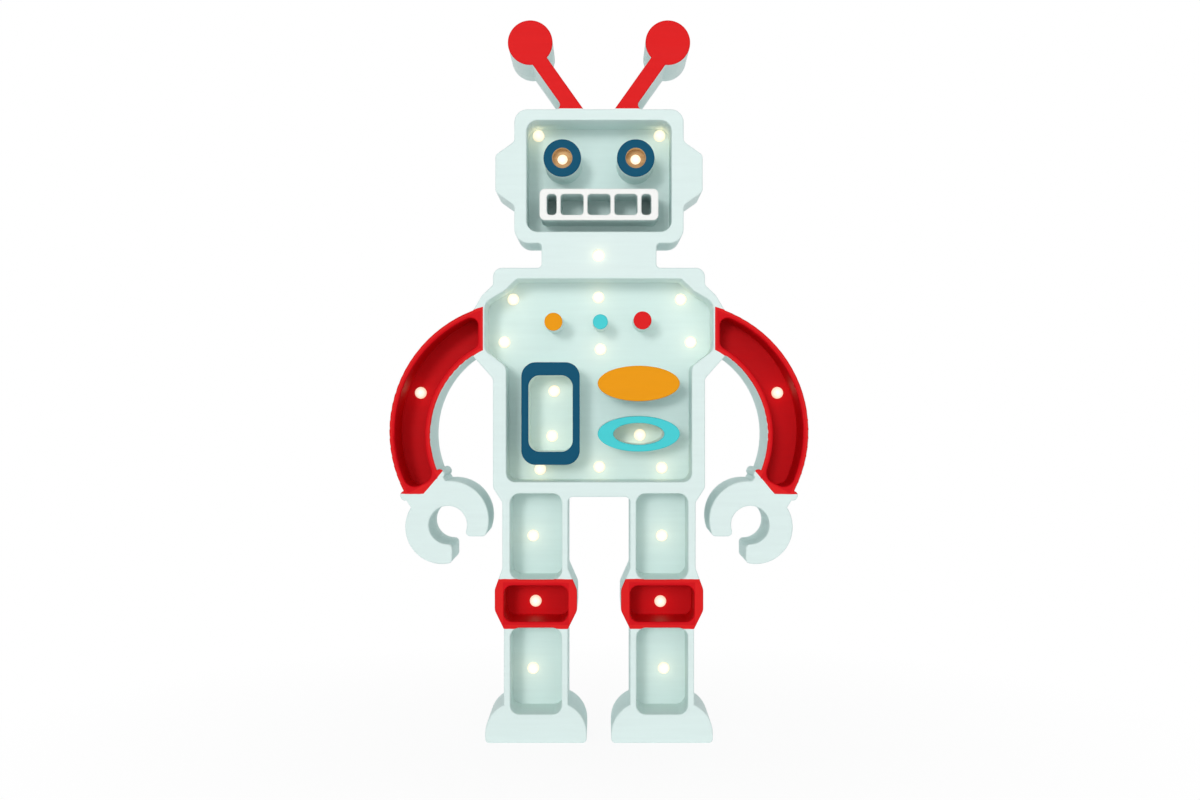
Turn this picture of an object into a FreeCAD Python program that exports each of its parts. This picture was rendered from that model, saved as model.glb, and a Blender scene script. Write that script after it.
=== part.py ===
# Robot shaped desk lamp, cut from two layers of timber and lit by round light-emitting diodes.
# Units are millimetres. The lamp stands on z = 0 and faces -Y, with its middle at x = 0, y = 0.
# "Light" below means one diode with its clear round lens, flange and two leads.
import FreeCAD, Part
import math
import os

# Timber layers, from front to back
FRONT_THICKNESS = 38.0  # front layer, cut right through for the windows
BACK_THICKNESS = 18.0  # back layer, which closes the windows and holds the wiring
EDGE_ROUND = 1.0  # rounding of the front and back outline edges and of the window edges
RIM_ROUND = 0.8  # rounding of the pieces that stand in the windows

# Height stack, from the floor up
LEG_LENGTH = 163.4
TORSO_HEIGHT = 152.2
NECK_HEIGHT = 16.4
HEAD_HEIGHT = 88.9
ANTENNA_RISE = 44.2  # from the head's top to the ball's centre
BALL_R = 14.9

# Feet and legs
LEG_PITCH = 83.8  # between the middles of the legs
FOOT_WIDTH = 67.4
FOOT_HEIGHT = 27.3
FOOT_TOP_R = 21.0
FOOT_SOLE_R = 2.7
SHIN_WIDTH = 42.5
KNEE_WIDTH = 54.8
KNEE_FOOT = 75.5  # where the knee leaves the shin
KNEE_LOW = 88.0  # the knee is widest from here
KNEE_HIGH = 102.0  # to here
KNEE_TOP = 116.0  # where the knee meets the thigh
THIGH_WIDTH = 44.6

# Torso and shoulders
TORSO_WIDTH = 140.8
TORSO_CORNER_R = 6.0
HIP_DROP = 3.6  # how far the hip's corner hangs below the crotch
HIP_RISE = 9.6  # height of the hip's slanted corner
SHOULDER_DROP = 11.3  # from the torso's top to where the shoulder swells
SHOULDER_CREST = (7.2, 18.1)  # outwards from the torso's side, down from its top
SHOULDER_END = (13.9, 29.4)
ARMPIT_OUT = (16.1, 55.6)  # runs up into the arm
ARMPIT_IN_DROP = 73.6
NECK_WIDTH = 76.3

# Head and ears
HEAD_WIDTH = 112.5
HEAD_TOP_R = 8.6
HEAD_BOTTOM_R = 9.5
EAR_REACH = 12.6
EAR_ROOT = 42.5
EAR_TIP = 24.6
EAR_RISE = 46.3  # from the head's bottom to the ear's middle

# Antennas
BALL_SPACING = 91.4
STEM_WIDTH = 10.6
STEM_SLANT = 54.6  # degrees from level
STEM_ROOT_SPACING = 33.4  # between the stems' middles at the head's top

# Arms: the outer edge is one arc, the inner edge another, each with its own centre.
# The places of arms and hands are sideways from the middle and up from the torso's base.
ARM_OUTER_PLACE = (53.0, 43.3)
ARM_OUTER_R = 86.3
ARM_INNER_PLACE = (48.6, 41.2)
ARM_INNER_R = 63.4
WRIST_ANGLE = -27.2  # degrees below level, seen from the arm's middle
WRIST_OVERLAP = 3.0  # degrees that the arm runs on into the hand
CUFF_LENGTH = 33.3
CUFF_WIDTH = 6.4
CUFF_TILT = -32.0

# Hands: a ring with one quarter left open
PALM_PLACE = (104.1, -20.0)
PALM_R = 24.6
FINGER_PLACE = (99.4, -15.3)
FINGER_R = 26.2
GRIP_PLACE = (100.4, -18.6)
GRIP_R = 12.7
GRIP_OPENING_PLACE = (97.5, -26.2)  # the open quarter lies inwards of and below this point
FINGERTIP_R = 3.0
WRIST_WIDTH = 29.0

# Windows through the front layer
HEAD_WINDOW = (96.2, 74.0)
HEAD_WINDOW_BASE = 7.6  # timber below the head's window
HEAD_WINDOW_R = 7.3
TORSO_WINDOW_WIDTH = 123.2
TORSO_WINDOW_TOP = 7.2  # timber above the torso's window
TORSO_WINDOW_BASE = 10.0  # timber between the crotch and the torso's window
CHEST_WIDTH = 152.0  # across the torso window where it swells into the shoulders
CHEST_NECK_IN = 7.2  # the window's top corner lies inwards of its side
CHEST_NECK_OUT = 1.4  # and this next corner outwards of it
CHEST_NECK_DROP = 8.1  # below the window's top
CHEST_TOP_DROP = 15.9
CHEST_END_DROP = 47.4
CHEST_SIDE_DROP = 58.4
THIGH_WINDOW = (34.5, 6.4)  # width, corner radius
THIGH_WINDOW_RISE = 2.3  # the top of the thigh's window above the torso's base
KNEE_WINDOW = (42.5, 24.0, 5.6)  # width, height, corner radius
SHIN_WINDOW = (34.1, 57.4, 6.2)
SHIN_WINDOW_BASE = 19.1
LEG_BAR = 4.1  # timber left between the windows of a leg
ARM_RIM = 3.6
ARM_WINDOW_TOP = 80.3  # the arm's window starts this far from the middle
ARM_WINDOW_END = -26.8  # degrees, where it ends near the wrist

# Pieces that stand in the windows, flush with the front
EYE_SPACING = 48.8
EYE_R = 12.5
EYE_RISE = 56.5  # from the head's bottom
EYE_CUP_R = 6.5
EYE_CUP_DEPTH = 7.0
EYE_HOLE_R = 3.4
EYE_LIP = 1.5
MOUTH = (79.0, 20.9, 3.6)
MOUTH_RISE = 25.7
MOUTH_SLOT_HEIGHT = 13.9
MOUTH_SLOT_WIDTHS = (6.5, 15.2, 15.2, 15.2, 6.5)
MOUTH_BAR = 2.7
MOUTH_SLOT_R = 2.4
PEG_RISE = 116.4  # from the torso's base
LARGE_PEG_R = 6.0
SMALL_PEG_R = 5.0
PEG_LEFT = (-30.3, 0.0)  # sideways place, and how much it sits above the pegs' level
PEG_MIDDLE = (0.9, 0.0)
PEG_RIGHT = (28.9, 0.9)
FRAME_PLACE = (-32.2, 55.4)  # sideways and up from the torso's base
FRAME_SIZE = (38.8, 68.2, 9.6)
FRAME_HOLE = (29.4, 50.8, 7.6)
OVAL_X = 26.4
OVAL_SEMI = (27.3, 11.8)
OVAL_PLATE_RISE = 75.4
OVAL_RING_RISE = 41.9
OVAL_RING_HOLE_SEMI = (16.9, 7.2)

# Lights
LENS_R = 4.0
LENS_LENGTH = 9.5  # from the flange to the tip
FLANGE_R = 4.6
FLANGE_THICKNESS = 1.5
LEAD_PITCH = 2.54
LEAD_SIZE = 0.5
LEAD_LENGTH = 24.0  # at most; a wire pair carries on from there
TAIL_SIZE = 1.4  # of the wires of such a pair
LENS_CLEARANCE = 0.05
WIRE_BORE_R = 5.0  # behind a light that sits in front of the back layer

# Wiring recess in the back layer, and its cover
FLOOR_THICKNESS = 5.0
COVER_RECESS = 3.0  # the cover lies this far below the back face
COVER_THICKNESS = 3.0
COVER_LEDGE = 2.5  # width of the ledge that the cover rests on
COVER_CLEARANCE = 0.3
HEAD_RECESS = (93.6, 71.8, 5.0)
HEAD_RECESS_BASE = 10.6
NECK_RECESS_WIDTH = 42.0
TORSO_RECESS_INSET = 0.2
TORSO_RECESS_DROP = 4.4  # below the torso's window
LEG_RECESS_WIDTH = 22.0
SERVICE_WIDTH = 26.0  # wider part of the leg recess, at the foot
SERVICE_HEIGHT = 13.0
SERVICE_BASE = 6.0
ARM_RECESS_WIDTH = 10.4
ARM_RECESS_R = 76.6
ARM_RECESS_START = 78.0  # degrees
ARM_RECESS_END = 15.0
ARM_COVER_TAB = 5.5  # the cover runs on past the end of the arm's recess
ARM_SCREW_REACH = 4.0  # from the end of the arm's recess to the screw
BOSS_R = 3.6
SCREW_R = 1.25
SCREW_HEAD_R = 2.7
SCREW_HEAD_HEIGHT = 1.5
SCREW_LENGTH = 11.0
SCREW_CLEARANCE = 0.05
SCREW_CROSS = 0.7  # width of the cross recess in the head

# Keyhole for hanging the lamp on a screw
KEYHOLE_R = 4.75
KEYHOLE_NECK = 4.8
KEYHOLE_DEPTH = 10.0
KEYHOLE_LIP = 4.5
KEYHOLE_TRAVEL = 10.0
KEYHOLE_RISE = 62.0  # entry hole, from the head's bottom
KEYHOLE_BLOCK = 24.0  # width of the solid timber round the keyhole
KEYHOLE_MARGIN = 8.5

# Flat twin cable
FLEX_WIDTH = 3.8
FLEX_THICKNESS = 1.2
FLEX_BEND_R = 5.0
FLEX_GAP = 1.3  # between the cover and the flat cables of the lights
TRUNK_X = 0.3  # middle of the cable that all branches leave from
LEAD_FLEX_WIDTH = 2.4
LEAD_FLEX_LIFT = 0.3  # of the supply cables above the recess floor
LEAD_FLEX_MARGIN = 1.7  # from the side of the leg's recess to the middle of a supply cable

# Driver board
BOARD_PLACE = (29.0, 70.6)  # sideways and up from the torso's base
BOARD_SIZE = (50.0, 30.0)
BOARD_THICKNESS = 1.6
BOARD_LIFT = 1.5
BOARD_HOLE_INSET = 4.0
SPACER_R = 2.2
BOARD_SCREW_HEAD_R = 2.1
BOARD_SCREW_HEAD = 1.3
RESISTOR_COUNT = 8
RESISTOR_PITCH = 3.4
RESISTOR_R = 0.95
RESISTOR_LENGTH = 6.0
TERMINAL_SIZE = (8.0, 6.0)
TERMINAL_HEIGHT = 3.2
TERMINAL_SCREW_R = 1.0
SUPPLY_TERMINALS_X = (20.0, 40.0)

# Supply inlet in the back of one foot
INLET_BARREL_R = 4.0
INLET_LENGTH = 8.5
INLET_FLANGE_R = 5.5
INLET_FLANGE = 2.0
INLET_BORE_R = 2.85
INLET_BORE_DEPTH = 9.5
INLET_PIN_R = 1.0
INLET_NUT_WIDTH = 10.0
INLET_NUT_THICKNESS = 2.0
INLET_PIN_TAIL = 2.0
INLET_TAB_OFFSET = 2.6
INLET_TAB_LENGTH = 5.5
ROUND_CLEARANCE = 0.06

# Rocker switch in the back of the other foot
BEZEL = (15.0, 10.5, 1.2)
SWITCH_BODY = (13.0, 8.5, 11.5)
SWITCH_WALL = 1.0
SWITCH_FIT = 0.1  # gap between the switch body and its hole in the cover
ROCKER_TILT = 8.0  # degrees each way from level
ROCKER_HALF = 4.9
ROCKER_SIDE_GAP = 0.3
ROCKER_RIM = 2.62  # of the rocker's ends above its pivot
ROCKER_DIP = 1.9  # of the rocker's middle above its pivot
ROCKER_SKIRT = 0.8
PIVOT_DEPTH = 2.0  # below the bezel's face
TRUNNION_R = 0.85
PLUNGER_R = 0.8
PLUNGER_REACH = 5.0  # from the pivot to the plunger's tip
SLEEVE_R = 1.3
BAR_GAP = 0.3  # between the plunger's tip and the contact bar
BAR_SIZE = (9.4, 3.0, 0.4)
BAR_TILT = 4.8
CONTACT_GAP = 0.07
SLEEVE_REACH = 3.2  # from the pivot to the end of the plunger's tube
SPRING_LENGTH = 1.4
TERMINAL_INSET = 0.9  # of the end contact from the bar's end
BLADE_SIZE = (0.8, 3.2)
BLADE_TAIL = 3.0  # of the terminals behind the switch body

# Levels worked out from the sizes above
DEPTH = FRONT_THICKNESS + BACK_THICKNESS
Y_FRONT = -DEPTH / 2
Y_GLUE = Y_FRONT + FRONT_THICKNESS
Y_BACK = DEPTH / 2
Y_FLOOR = Y_GLUE + FLOOR_THICKNESS
Y_COVER_OUT = Y_BACK - COVER_RECESS
Y_COVER_IN = Y_COVER_OUT - COVER_THICKNESS
Y_FLEX = Y_COVER_IN - FLEX_GAP - FLEX_THICKNESS
TORSO_TOP = LEG_LENGTH + TORSO_HEIGHT
HEAD_BOTTOM = TORSO_TOP + NECK_HEIGHT
HEAD_TOP = HEAD_BOTTOM + HEAD_HEIGHT
EYE_Z = HEAD_BOTTOM + EYE_RISE
EYE_CUP_Y = Y_FRONT + EYE_CUP_DEPTH
SHIN_WINDOW_TOP = SHIN_WINDOW_BASE + SHIN_WINDOW[1]
KNEE_WINDOW_BASE = SHIN_WINDOW_TOP + LEG_BAR
THIGH_WINDOW_BASE = KNEE_WINDOW_BASE + KNEE_WINDOW[1] + LEG_BAR
THIGH_WINDOW_TOP = LEG_LENGTH + THIGH_WINDOW_RISE
ARM_OUTER_CENTRE = (ARM_OUTER_PLACE[0], LEG_LENGTH + ARM_OUTER_PLACE[1])
ARM_INNER_CENTRE = (ARM_INNER_PLACE[0], LEG_LENGTH + ARM_INNER_PLACE[1])
PALM_CENTRE = (PALM_PLACE[0], LEG_LENGTH + PALM_PLACE[1])
FINGER_CENTRE = (FINGER_PLACE[0], LEG_LENGTH + FINGER_PLACE[1])
GRIP_CENTRE = (GRIP_PLACE[0], LEG_LENGTH + GRIP_PLACE[1])
GRIP_OPENING = (GRIP_OPENING_PLACE[0], LEG_LENGTH + GRIP_OPENING_PLACE[1])
PEG_LEVEL = LEG_LENGTH + PEG_RISE
FRAME_CENTRE = (FRAME_PLACE[0], LEG_LENGTH + FRAME_PLACE[1])
OVAL_PLATE_Z = LEG_LENGTH + OVAL_PLATE_RISE
OVAL_RING_Z = LEG_LENGTH + OVAL_RING_RISE
BOARD_CENTRE = (BOARD_PLACE[0], LEG_LENGTH + BOARD_PLACE[1])
ARM_MIDDLE = (
    (ARM_OUTER_CENTRE[0] + ARM_INNER_CENTRE[0]) / 2,
    (ARM_OUTER_CENTRE[1] + ARM_INNER_CENTRE[1]) / 2,
)
LEG_X = LEG_PITCH / 2
TRUNK_LEFT = TRUNK_X - FLEX_WIDTH / 2
TRUNK_RIGHT = TRUNK_X + FLEX_WIDTH / 2
SERVICE_Z = SERVICE_BASE + SERVICE_HEIGHT / 2  # height of the inlet and of the switch
Y_BOARD = Y_FLOOR + BOARD_LIFT
Y_BOARD_TOP = Y_BOARD + BOARD_THICKNESS
Y_PIVOT = Y_COVER_OUT + BEZEL[2] - PIVOT_DEPTH

# Lights: (x, rise, turn of the leads in degrees), a little uneven as they were drilled by hand
EYE_LIGHTS = [(-EYE_SPACING / 2, EYE_Z, 0), (EYE_SPACING / 2, EYE_Z, 0)]
HEAD_LIGHT_PLACES = [(-41.5, 77.2, 90), (41.5, 77.2, 90)]  # from the head's bottom
NECK_LIGHT_PLACES = [(-0.3, 8.2, 0)]  # from the torso's top
TORSO_LIGHT_PLACES = [
    (-58.9, 133.5, 0),
    (-0.4, 134.9, 0),
    (56.1, 133.5, 0),
    (-65.0, 104.1, 0),
    (1.0, 99.3, 0),
    (62.9, 104.1, 0),
    (-30.8, 70.5, 0),
    (-32.2, 39.7, 0),
    (28.0, 40.4, 90),
    (-40.4, 16.9, 0),
    (0.2, 18.5, 0),
    (43.1, 17.9, 0),
]  # from the torso's base
THIGH_LIGHT_PLACES = [(-45.2, -28.7, 0), (43.1, -28.7, 0)]  # from the torso's base
LOW_LEG_LIGHTS = [(-43.5, 89.9, 0), (-45.2, 43.7, 0), (42.1, 89.6, 0), (44.4, 43.7, 0)]


def raised(places, base):
    """The places moved up by the height that they were measured from."""
    return [(x, base + rise, *rest) for x, rise, *rest in places]


HEAD_LIGHTS = raised(HEAD_LIGHT_PLACES, HEAD_BOTTOM)
NECK_LIGHTS = raised(NECK_LIGHT_PLACES, TORSO_TOP)
TORSO_LIGHTS = raised(TORSO_LIGHT_PLACES, LEG_LENGTH)
LEG_LIGHTS = raised(THIGH_LIGHT_PLACES, LEG_LENGTH) + LOW_LEG_LIGHTS
ARM_LIGHT_ANGLE = 20.7
ARM_LIGHT_X = ARM_MIDDLE[0] + ARM_RECESS_R * math.cos(math.radians(ARM_LIGHT_ANGLE))
ARM_LIGHT_Z = ARM_MIDDLE[1] + ARM_RECESS_R * math.sin(math.radians(ARM_LIGHT_ANGLE))
ARM_LIGHTS = [(-ARM_LIGHT_X, ARM_LIGHT_Z, -20), (ARM_LIGHT_X, ARM_LIGHT_Z, 20)]

# Cover screws: the first ones have bosses under them, those of the arms go into solid timber
LEG_SCREW_X = LEG_X - LEG_RECESS_WIDTH / 2 + 1.75
HEAD_SCREWS = raised([(-38.0, 22.0), (38.0, 22.0), (-20.5, 76.0), (20.5, 76.0)], HEAD_BOTTOM)
TORSO_SCREWS = raised([(-28.0, 136.6), (28.0, 136.6), (-55.0, 50.6), (55.0, 50.6)], LEG_LENGTH)
LEG_SCREWS = [(-LEG_SCREW_X, 112.0), (LEG_SCREW_X, 112.0), (-LEG_SCREW_X, 30.0), (LEG_SCREW_X, 30.0)]
BOSS_SCREWS = HEAD_SCREWS + TORSO_SCREWS + LEG_SCREWS


# Plane figures and slabs
def place(x, z, y=0.0):
    """A point given by its place in the front view and its depth."""
    return FreeCAD.Vector(x, y, z)


def rounded_figure(corners):
    """Face in the XZ plane whose corners (x, z, radius) are rounded by arcs, as large as their sides allow."""
    count = len(corners)
    points = [place(x, z) for x, z, _ in corners]
    halves = []
    reaches = []
    for i, corner in enumerate(points):
        half = (points[i - 1] - corner).getAngle(points[(i + 1) % count] - corner) / 2
        halves.append(half)
        reaches.append(corners[i][2] / math.tan(half))
    limits = [1.0] * count
    for i in range(count):
        after = (i + 1) % count
        wanted = reaches[i] + reaches[after]
        room = 0.98 * (points[after] - points[i]).Length
        if wanted > room:
            limits[i] = min(limits[i], room / wanted)
            limits[after] = min(limits[after], room / wanted)
    edges = []
    joins = []
    for i, corner in enumerate(points):
        reach = reaches[i] * limits[i]
        radius = reach * math.tan(halves[i])
        back = (points[i - 1] - corner).normalize()
        ahead = (points[(i + 1) % count] - corner).normalize()
        if radius < 1e-6:
            joins.append((corner, None, corner))
            continue
        inward = (back + ahead).normalize()
        crown = corner + inward * (radius / math.sin(halves[i]) - radius)
        joins.append((corner + back * reach, crown, corner + ahead * reach))
    for i, (start, crown, end) in enumerate(joins):
        if crown is not None:
            edges.append(Part.Arc(start, crown, end).toShape())
        edges.append(Part.LineSegment(end, joins[(i + 1) % count][0]).toShape())
    return Part.Face(Part.Wire(edges))


def rounded_box_figure(x, z, width, height, radius):
    """Rounded rectangle centred on (x, z)."""
    sides = [(-1, -1), (1, -1), (1, 1), (-1, 1)]
    return rounded_figure([(x + i * width / 2, z + j * height / 2, radius) for i, j in sides])


def disc(x, z, radius, start=0.0):
    """Round face centred on (x, z), whose edge starts at the given angle."""
    face = Part.Face(Part.Wire(Part.makeCircle(radius, place(x, z), FreeCAD.Vector(0, -1, 0))))
    first = face.Edges[0].Vertexes[0].Point
    now = math.degrees(math.atan2(first.z - z, first.x - x))
    face.rotate(place(x, z), FreeCAD.Vector(0, -1, 0), start - now)
    return face


def oval(x, z, half_width, half_height):
    """Elliptical face centred on (x, z)."""
    ellipse = Part.Ellipse(place(x + half_width, z), place(x, z + half_height), place(x, z))
    return Part.Face(Part.Wire(ellipse.toShape()))


def slab(figure, y0, y1):
    """Solid between two depths with the given front view."""
    moved = figure.copy()
    moved.translate(FreeCAD.Vector(0, y0, 0))
    return moved.extrude(FreeCAD.Vector(0, y1 - y0, 0))


def box(x0, x1, y0, y1, z0, z1):
    """Box between two corners."""
    return Part.makeBox(x1 - x0, y1 - y0, z1 - z0, FreeCAD.Vector(x0, y0, z0))


def rod(x, z, radius, y0, y1):
    """Round bar along the depth."""
    return Part.makeCylinder(radius, y1 - y0, place(x, z, y0), FreeCAD.Vector(0, 1, 0))


def joined(shapes):
    """One shape from several that touch, without the seams between them."""
    first = shapes[0]
    if len(shapes) == 1:
        return first
    return first.fuse(shapes[1:]).removeSplitter()


def mirrored(shape):
    """The shape's twin on the other side of the lamp."""
    return shape.mirror(FreeCAD.Vector(0, 0, 0), FreeCAD.Vector(1, 0, 0))


def both_sides(shape):
    """The shape and its twin."""
    return [shape, mirrored(shape)]


def depth_edges(solid, wanted):
    """Straight edges along the depth whose (x, z) passes the test."""
    found = []
    for edge in solid.Edges:
        if edge.Curve.TypeId != "Part::GeomLine":
            continue
        a, b = edge.Vertexes[0].Point, edge.Vertexes[-1].Point
        if abs(a.x - b.x) < 1e-6 and abs(a.z - b.z) < 1e-6 and wanted(a.x, a.z):
            found.append(edge)
    return found


def level_edges(solid, y, wanted=None):
    """Edges that lie in the plane at depth y, and pass the test of their middle if one is given."""
    found = []
    for edge in solid.Edges:
        bounds = edge.BoundBox
        if abs(bounds.YMin - y) > 1e-4 or abs(bounds.YMax - y) > 1e-4:
            continue
        if wanted is None or wanted(bounds.Center.x, bounds.Center.z):
            found.append(edge)
    return found


def polar(centre, radius, degrees):
    """Point (x, z) at a distance and angle from a centre."""
    angle = math.radians(degrees)
    return centre[0] + radius * math.cos(angle), centre[1] + radius * math.sin(angle)


# Outline of the robot
def trunk_figure():
    """Head, ears, antenna stems, neck, torso, shoulders and legs as one figure."""
    head = HEAD_WIDTH / 2
    torso = TORSO_WIDTH / 2
    neck = NECK_WIDTH / 2
    ear_z = HEAD_BOTTOM + EAR_RISE
    stem_half = STEM_WIDTH / 2 / math.sin(math.radians(STEM_SLANT))
    root = STEM_ROOT_SPACING / 2
    lean = ANTENNA_RISE / math.tan(math.radians(STEM_SLANT))
    outer, inner = LEG_X + THIGH_WIDTH / 2, LEG_X - SHIN_WIDTH / 2
    half = [
        (root - stem_half, HEAD_TOP, 2.0),
        (root + lean - stem_half, HEAD_TOP + ANTENNA_RISE, 0),
        (root + lean + stem_half, HEAD_TOP + ANTENNA_RISE, 0),
        (root + stem_half, HEAD_TOP, 3.0),
        (head, HEAD_TOP, HEAD_TOP_R),
        (head, ear_z + EAR_ROOT / 2, 4.0),
        (head + EAR_REACH, ear_z + EAR_TIP / 2, 4.0),
        (head + EAR_REACH, ear_z - EAR_TIP / 2, 4.0),
        (head, ear_z - EAR_ROOT / 2, 4.0),
        (head, HEAD_BOTTOM, HEAD_BOTTOM_R),
        (neck, HEAD_BOTTOM, 2.5),
        (neck, TORSO_TOP, 2.7),
        (torso, TORSO_TOP, TORSO_CORNER_R),
        (torso, TORSO_TOP - SHOULDER_DROP, 3.0),
        (torso + SHOULDER_CREST[0], TORSO_TOP - SHOULDER_CREST[1], 6.0),
        (torso + SHOULDER_END[0], TORSO_TOP - SHOULDER_END[1], 0),
        (torso + ARMPIT_OUT[0], TORSO_TOP - ARMPIT_OUT[1], 0),
        (torso, TORSO_TOP - ARMPIT_IN_DROP, 5.0),
        (torso, LEG_LENGTH - HIP_DROP + HIP_RISE, TORSO_CORNER_R),
        (outer, LEG_LENGTH - HIP_DROP, 4.0),
        (outer, KNEE_TOP, 5.0),
        (LEG_X + KNEE_WIDTH / 2, KNEE_HIGH, 7.0),
        (LEG_X + KNEE_WIDTH / 2, KNEE_LOW, 7.0),
        (LEG_X + SHIN_WIDTH / 2, KNEE_FOOT, 1.5),
        (LEG_X + SHIN_WIDTH / 2, FOOT_HEIGHT / 2, 0),
        (inner, FOOT_HEIGHT / 2, 0),
        (inner, KNEE_FOOT, 1.5),
        (LEG_X - KNEE_WIDTH / 2, KNEE_LOW, 7.0),
        (LEG_X - KNEE_WIDTH / 2, KNEE_HIGH, 7.0),
        (inner, KNEE_TOP, 5.0),
        (inner, LEG_LENGTH, 3.5),
    ]
    return rounded_figure(half + [(-x, z, r) for x, z, r in reversed(half)])


def foot_figure():
    """Domed foot of the leg at +X."""
    a, b = LEG_X - FOOT_WIDTH / 2, LEG_X + FOOT_WIDTH / 2
    sole, dome = FOOT_SOLE_R, FOOT_TOP_R
    return rounded_figure([(a, 0, sole), (b, 0, sole), (b, FOOT_HEIGHT, dome), (a, FOOT_HEIGHT, dome)])


def arm_band(y0, y1, rim, start_x, end_angle):
    """Curved band of the arm at +X, with the given timber rim left off each edge."""
    outer = slab(disc(*ARM_OUTER_CENTRE, ARM_OUTER_R - rim, 180), y0, y1)
    inner = slab(disc(*ARM_INNER_CENTRE, ARM_INNER_R + rim, 180), y0, y1)
    far = ARM_OUTER_CENTRE[0] + 2 * ARM_OUTER_R
    top = ARM_OUTER_CENTRE[1] + 2 * ARM_OUTER_R
    drop = math.tan(math.radians(end_angle))
    low_far = ARM_MIDDLE[1] + (far - ARM_MIDDLE[0]) * drop
    low_near = ARM_MIDDLE[1] + (start_x - ARM_MIDDLE[0]) * drop
    corners = [(start_x, low_near, 0), (far, low_far, 0), (far, top, 0), (start_x, top, 0)]
    return outer.cut(inner).common(slab(rounded_figure(corners), y0, y1))


def bar_figure(start, end, width):
    """Rectangle of the given width round the line between two points."""
    dx, dz = end[0] - start[0], end[1] - start[1]
    length = math.hypot(dx, dz)
    nx, nz = -dz / length * width / 2, dx / length * width / 2
    return [
        (start[0] + nx, start[1] + nz),
        (start[0] - nx, start[1] - nz),
        (end[0] - nx, end[1] - nz),
        (end[0] + nx, end[1] + nz),
    ]


def arm_and_hand(y0, y1):
    """Arm, cuff and open hand at +X."""
    band = arm_band(y0, y1, 0.0, TORSO_WIDTH / 2 + 1, WRIST_ANGLE - WRIST_OVERLAP)
    wrist = polar(ARM_MIDDLE, (ARM_OUTER_R + ARM_INNER_R) / 2, WRIST_ANGLE)
    cuff_ends = [polar(wrist, sign * CUFF_LENGTH / 2, CUFF_TILT) for sign in (-1, 1)]
    cuff = rounded_figure([(x, z, 2.8) for x, z in bar_figure(*cuff_ends, CUFF_WIDTH)])
    neck = rounded_figure([(x, z, 0) for x, z in bar_figure(wrist, GRIP_CENTRE, WRIST_WIDTH)])
    figures = [cuff, neck, disc(*PALM_CENTRE, PALM_R, 180), disc(*FINGER_CENTRE, FINGER_R)]
    whole = joined([band] + [slab(figure, y0, y1) for figure in figures])
    grip = slab(disc(*GRIP_CENTRE, GRIP_R, 225), y0 - 1, y1 + 1)
    far = 2 * FINGER_R
    quarter = box(
        GRIP_OPENING[0] - far,
        GRIP_OPENING[0],
        y0 - 1,
        y1 + 1,
        GRIP_OPENING[1] - far,
        GRIP_OPENING[1],
    )
    hand = whole.cut([grip, quarter])
    tips = depth_edges(
        hand,
        lambda x, z: (abs(x - GRIP_OPENING[0]) < 1e-4 and z < GRIP_OPENING[1] + 1)
        or (abs(z - GRIP_OPENING[1]) < 1e-4 and x < GRIP_OPENING[0] + 1),
    )
    return hand.makeFillet(FINGERTIP_R, tips)


def body_layer(y0, y1):
    """The whole outline as a layer of timber between two depths."""
    solids = [slab(trunk_figure(), y0, y1)]
    solids += both_sides(slab(foot_figure(), y0, y1))
    ball = disc(BALL_SPACING / 2, HEAD_TOP + ANTENNA_RISE, BALL_R, 180 + STEM_SLANT)
    solids += both_sides(slab(ball, y0, y1))
    solids += both_sides(arm_and_hand(y0, y1))
    return joined(solids)


def rounded_layer(solid, y):
    """The layer with its edges at depth y rounded: one half is rounded and mirrored."""
    bounds = solid.BoundBox
    half = solid.common(box(bounds.XMin - 1, 0, bounds.YMin - 1, bounds.YMax + 1, -1, bounds.ZMax + 1))
    half = half.makeFillet(EDGE_ROUND, level_edges(half, y, lambda x, z: x < -1e-3))
    return joined(both_sides(half))


# Windows and recesses
def torso_figure(inset, drop=0.0):
    """Torso opening, which swells into the shoulders, drawn in by an inset."""
    side = TORSO_WINDOW_WIDTH / 2 - inset
    chest = CHEST_WIDTH / 2 - inset
    top = TORSO_TOP - TORSO_WINDOW_TOP
    base = LEG_LENGTH + TORSO_WINDOW_BASE + inset - drop
    half = [
        (side - CHEST_NECK_IN, top - inset, 4.0),
        (side + CHEST_NECK_OUT, top - CHEST_NECK_DROP - inset, 5.0),
        (chest, top - CHEST_TOP_DROP - inset, 8.0),
        (chest, top - CHEST_END_DROP + inset, 7.0),
        (side, top - CHEST_SIDE_DROP + inset, 6.0),
        (side, base, 6.0),
    ]
    return rounded_figure(half + [(-x, z, r) for x, z, r in reversed(half)])


def leg_windows():
    """(base, width, height, radius) of the three windows of a leg."""
    return [
        (SHIN_WINDOW_BASE, *SHIN_WINDOW),
        (KNEE_WINDOW_BASE, *KNEE_WINDOW),
        (THIGH_WINDOW_BASE, THIGH_WINDOW[0], THIGH_WINDOW_TOP - THIGH_WINDOW_BASE, THIGH_WINDOW[1]),
    ]


def arm_window(y0, y1):
    """Curved window of the arm at +X, with round ends."""
    band = arm_band(y0, y1, ARM_RIM, ARM_WINDOW_TOP, ARM_WINDOW_END)
    wide = ARM_OUTER_R - ARM_INNER_R - 2 * ARM_RIM
    top = depth_edges(band, lambda x, z: abs(x - ARM_WINDOW_TOP) < 1e-4)
    band = band.makeFillet(0.32 * wide, top)
    end = depth_edges(band, lambda x, z: z < ARM_MIDDLE[1])
    return band.makeFillet(0.46 * wide, end)


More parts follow.
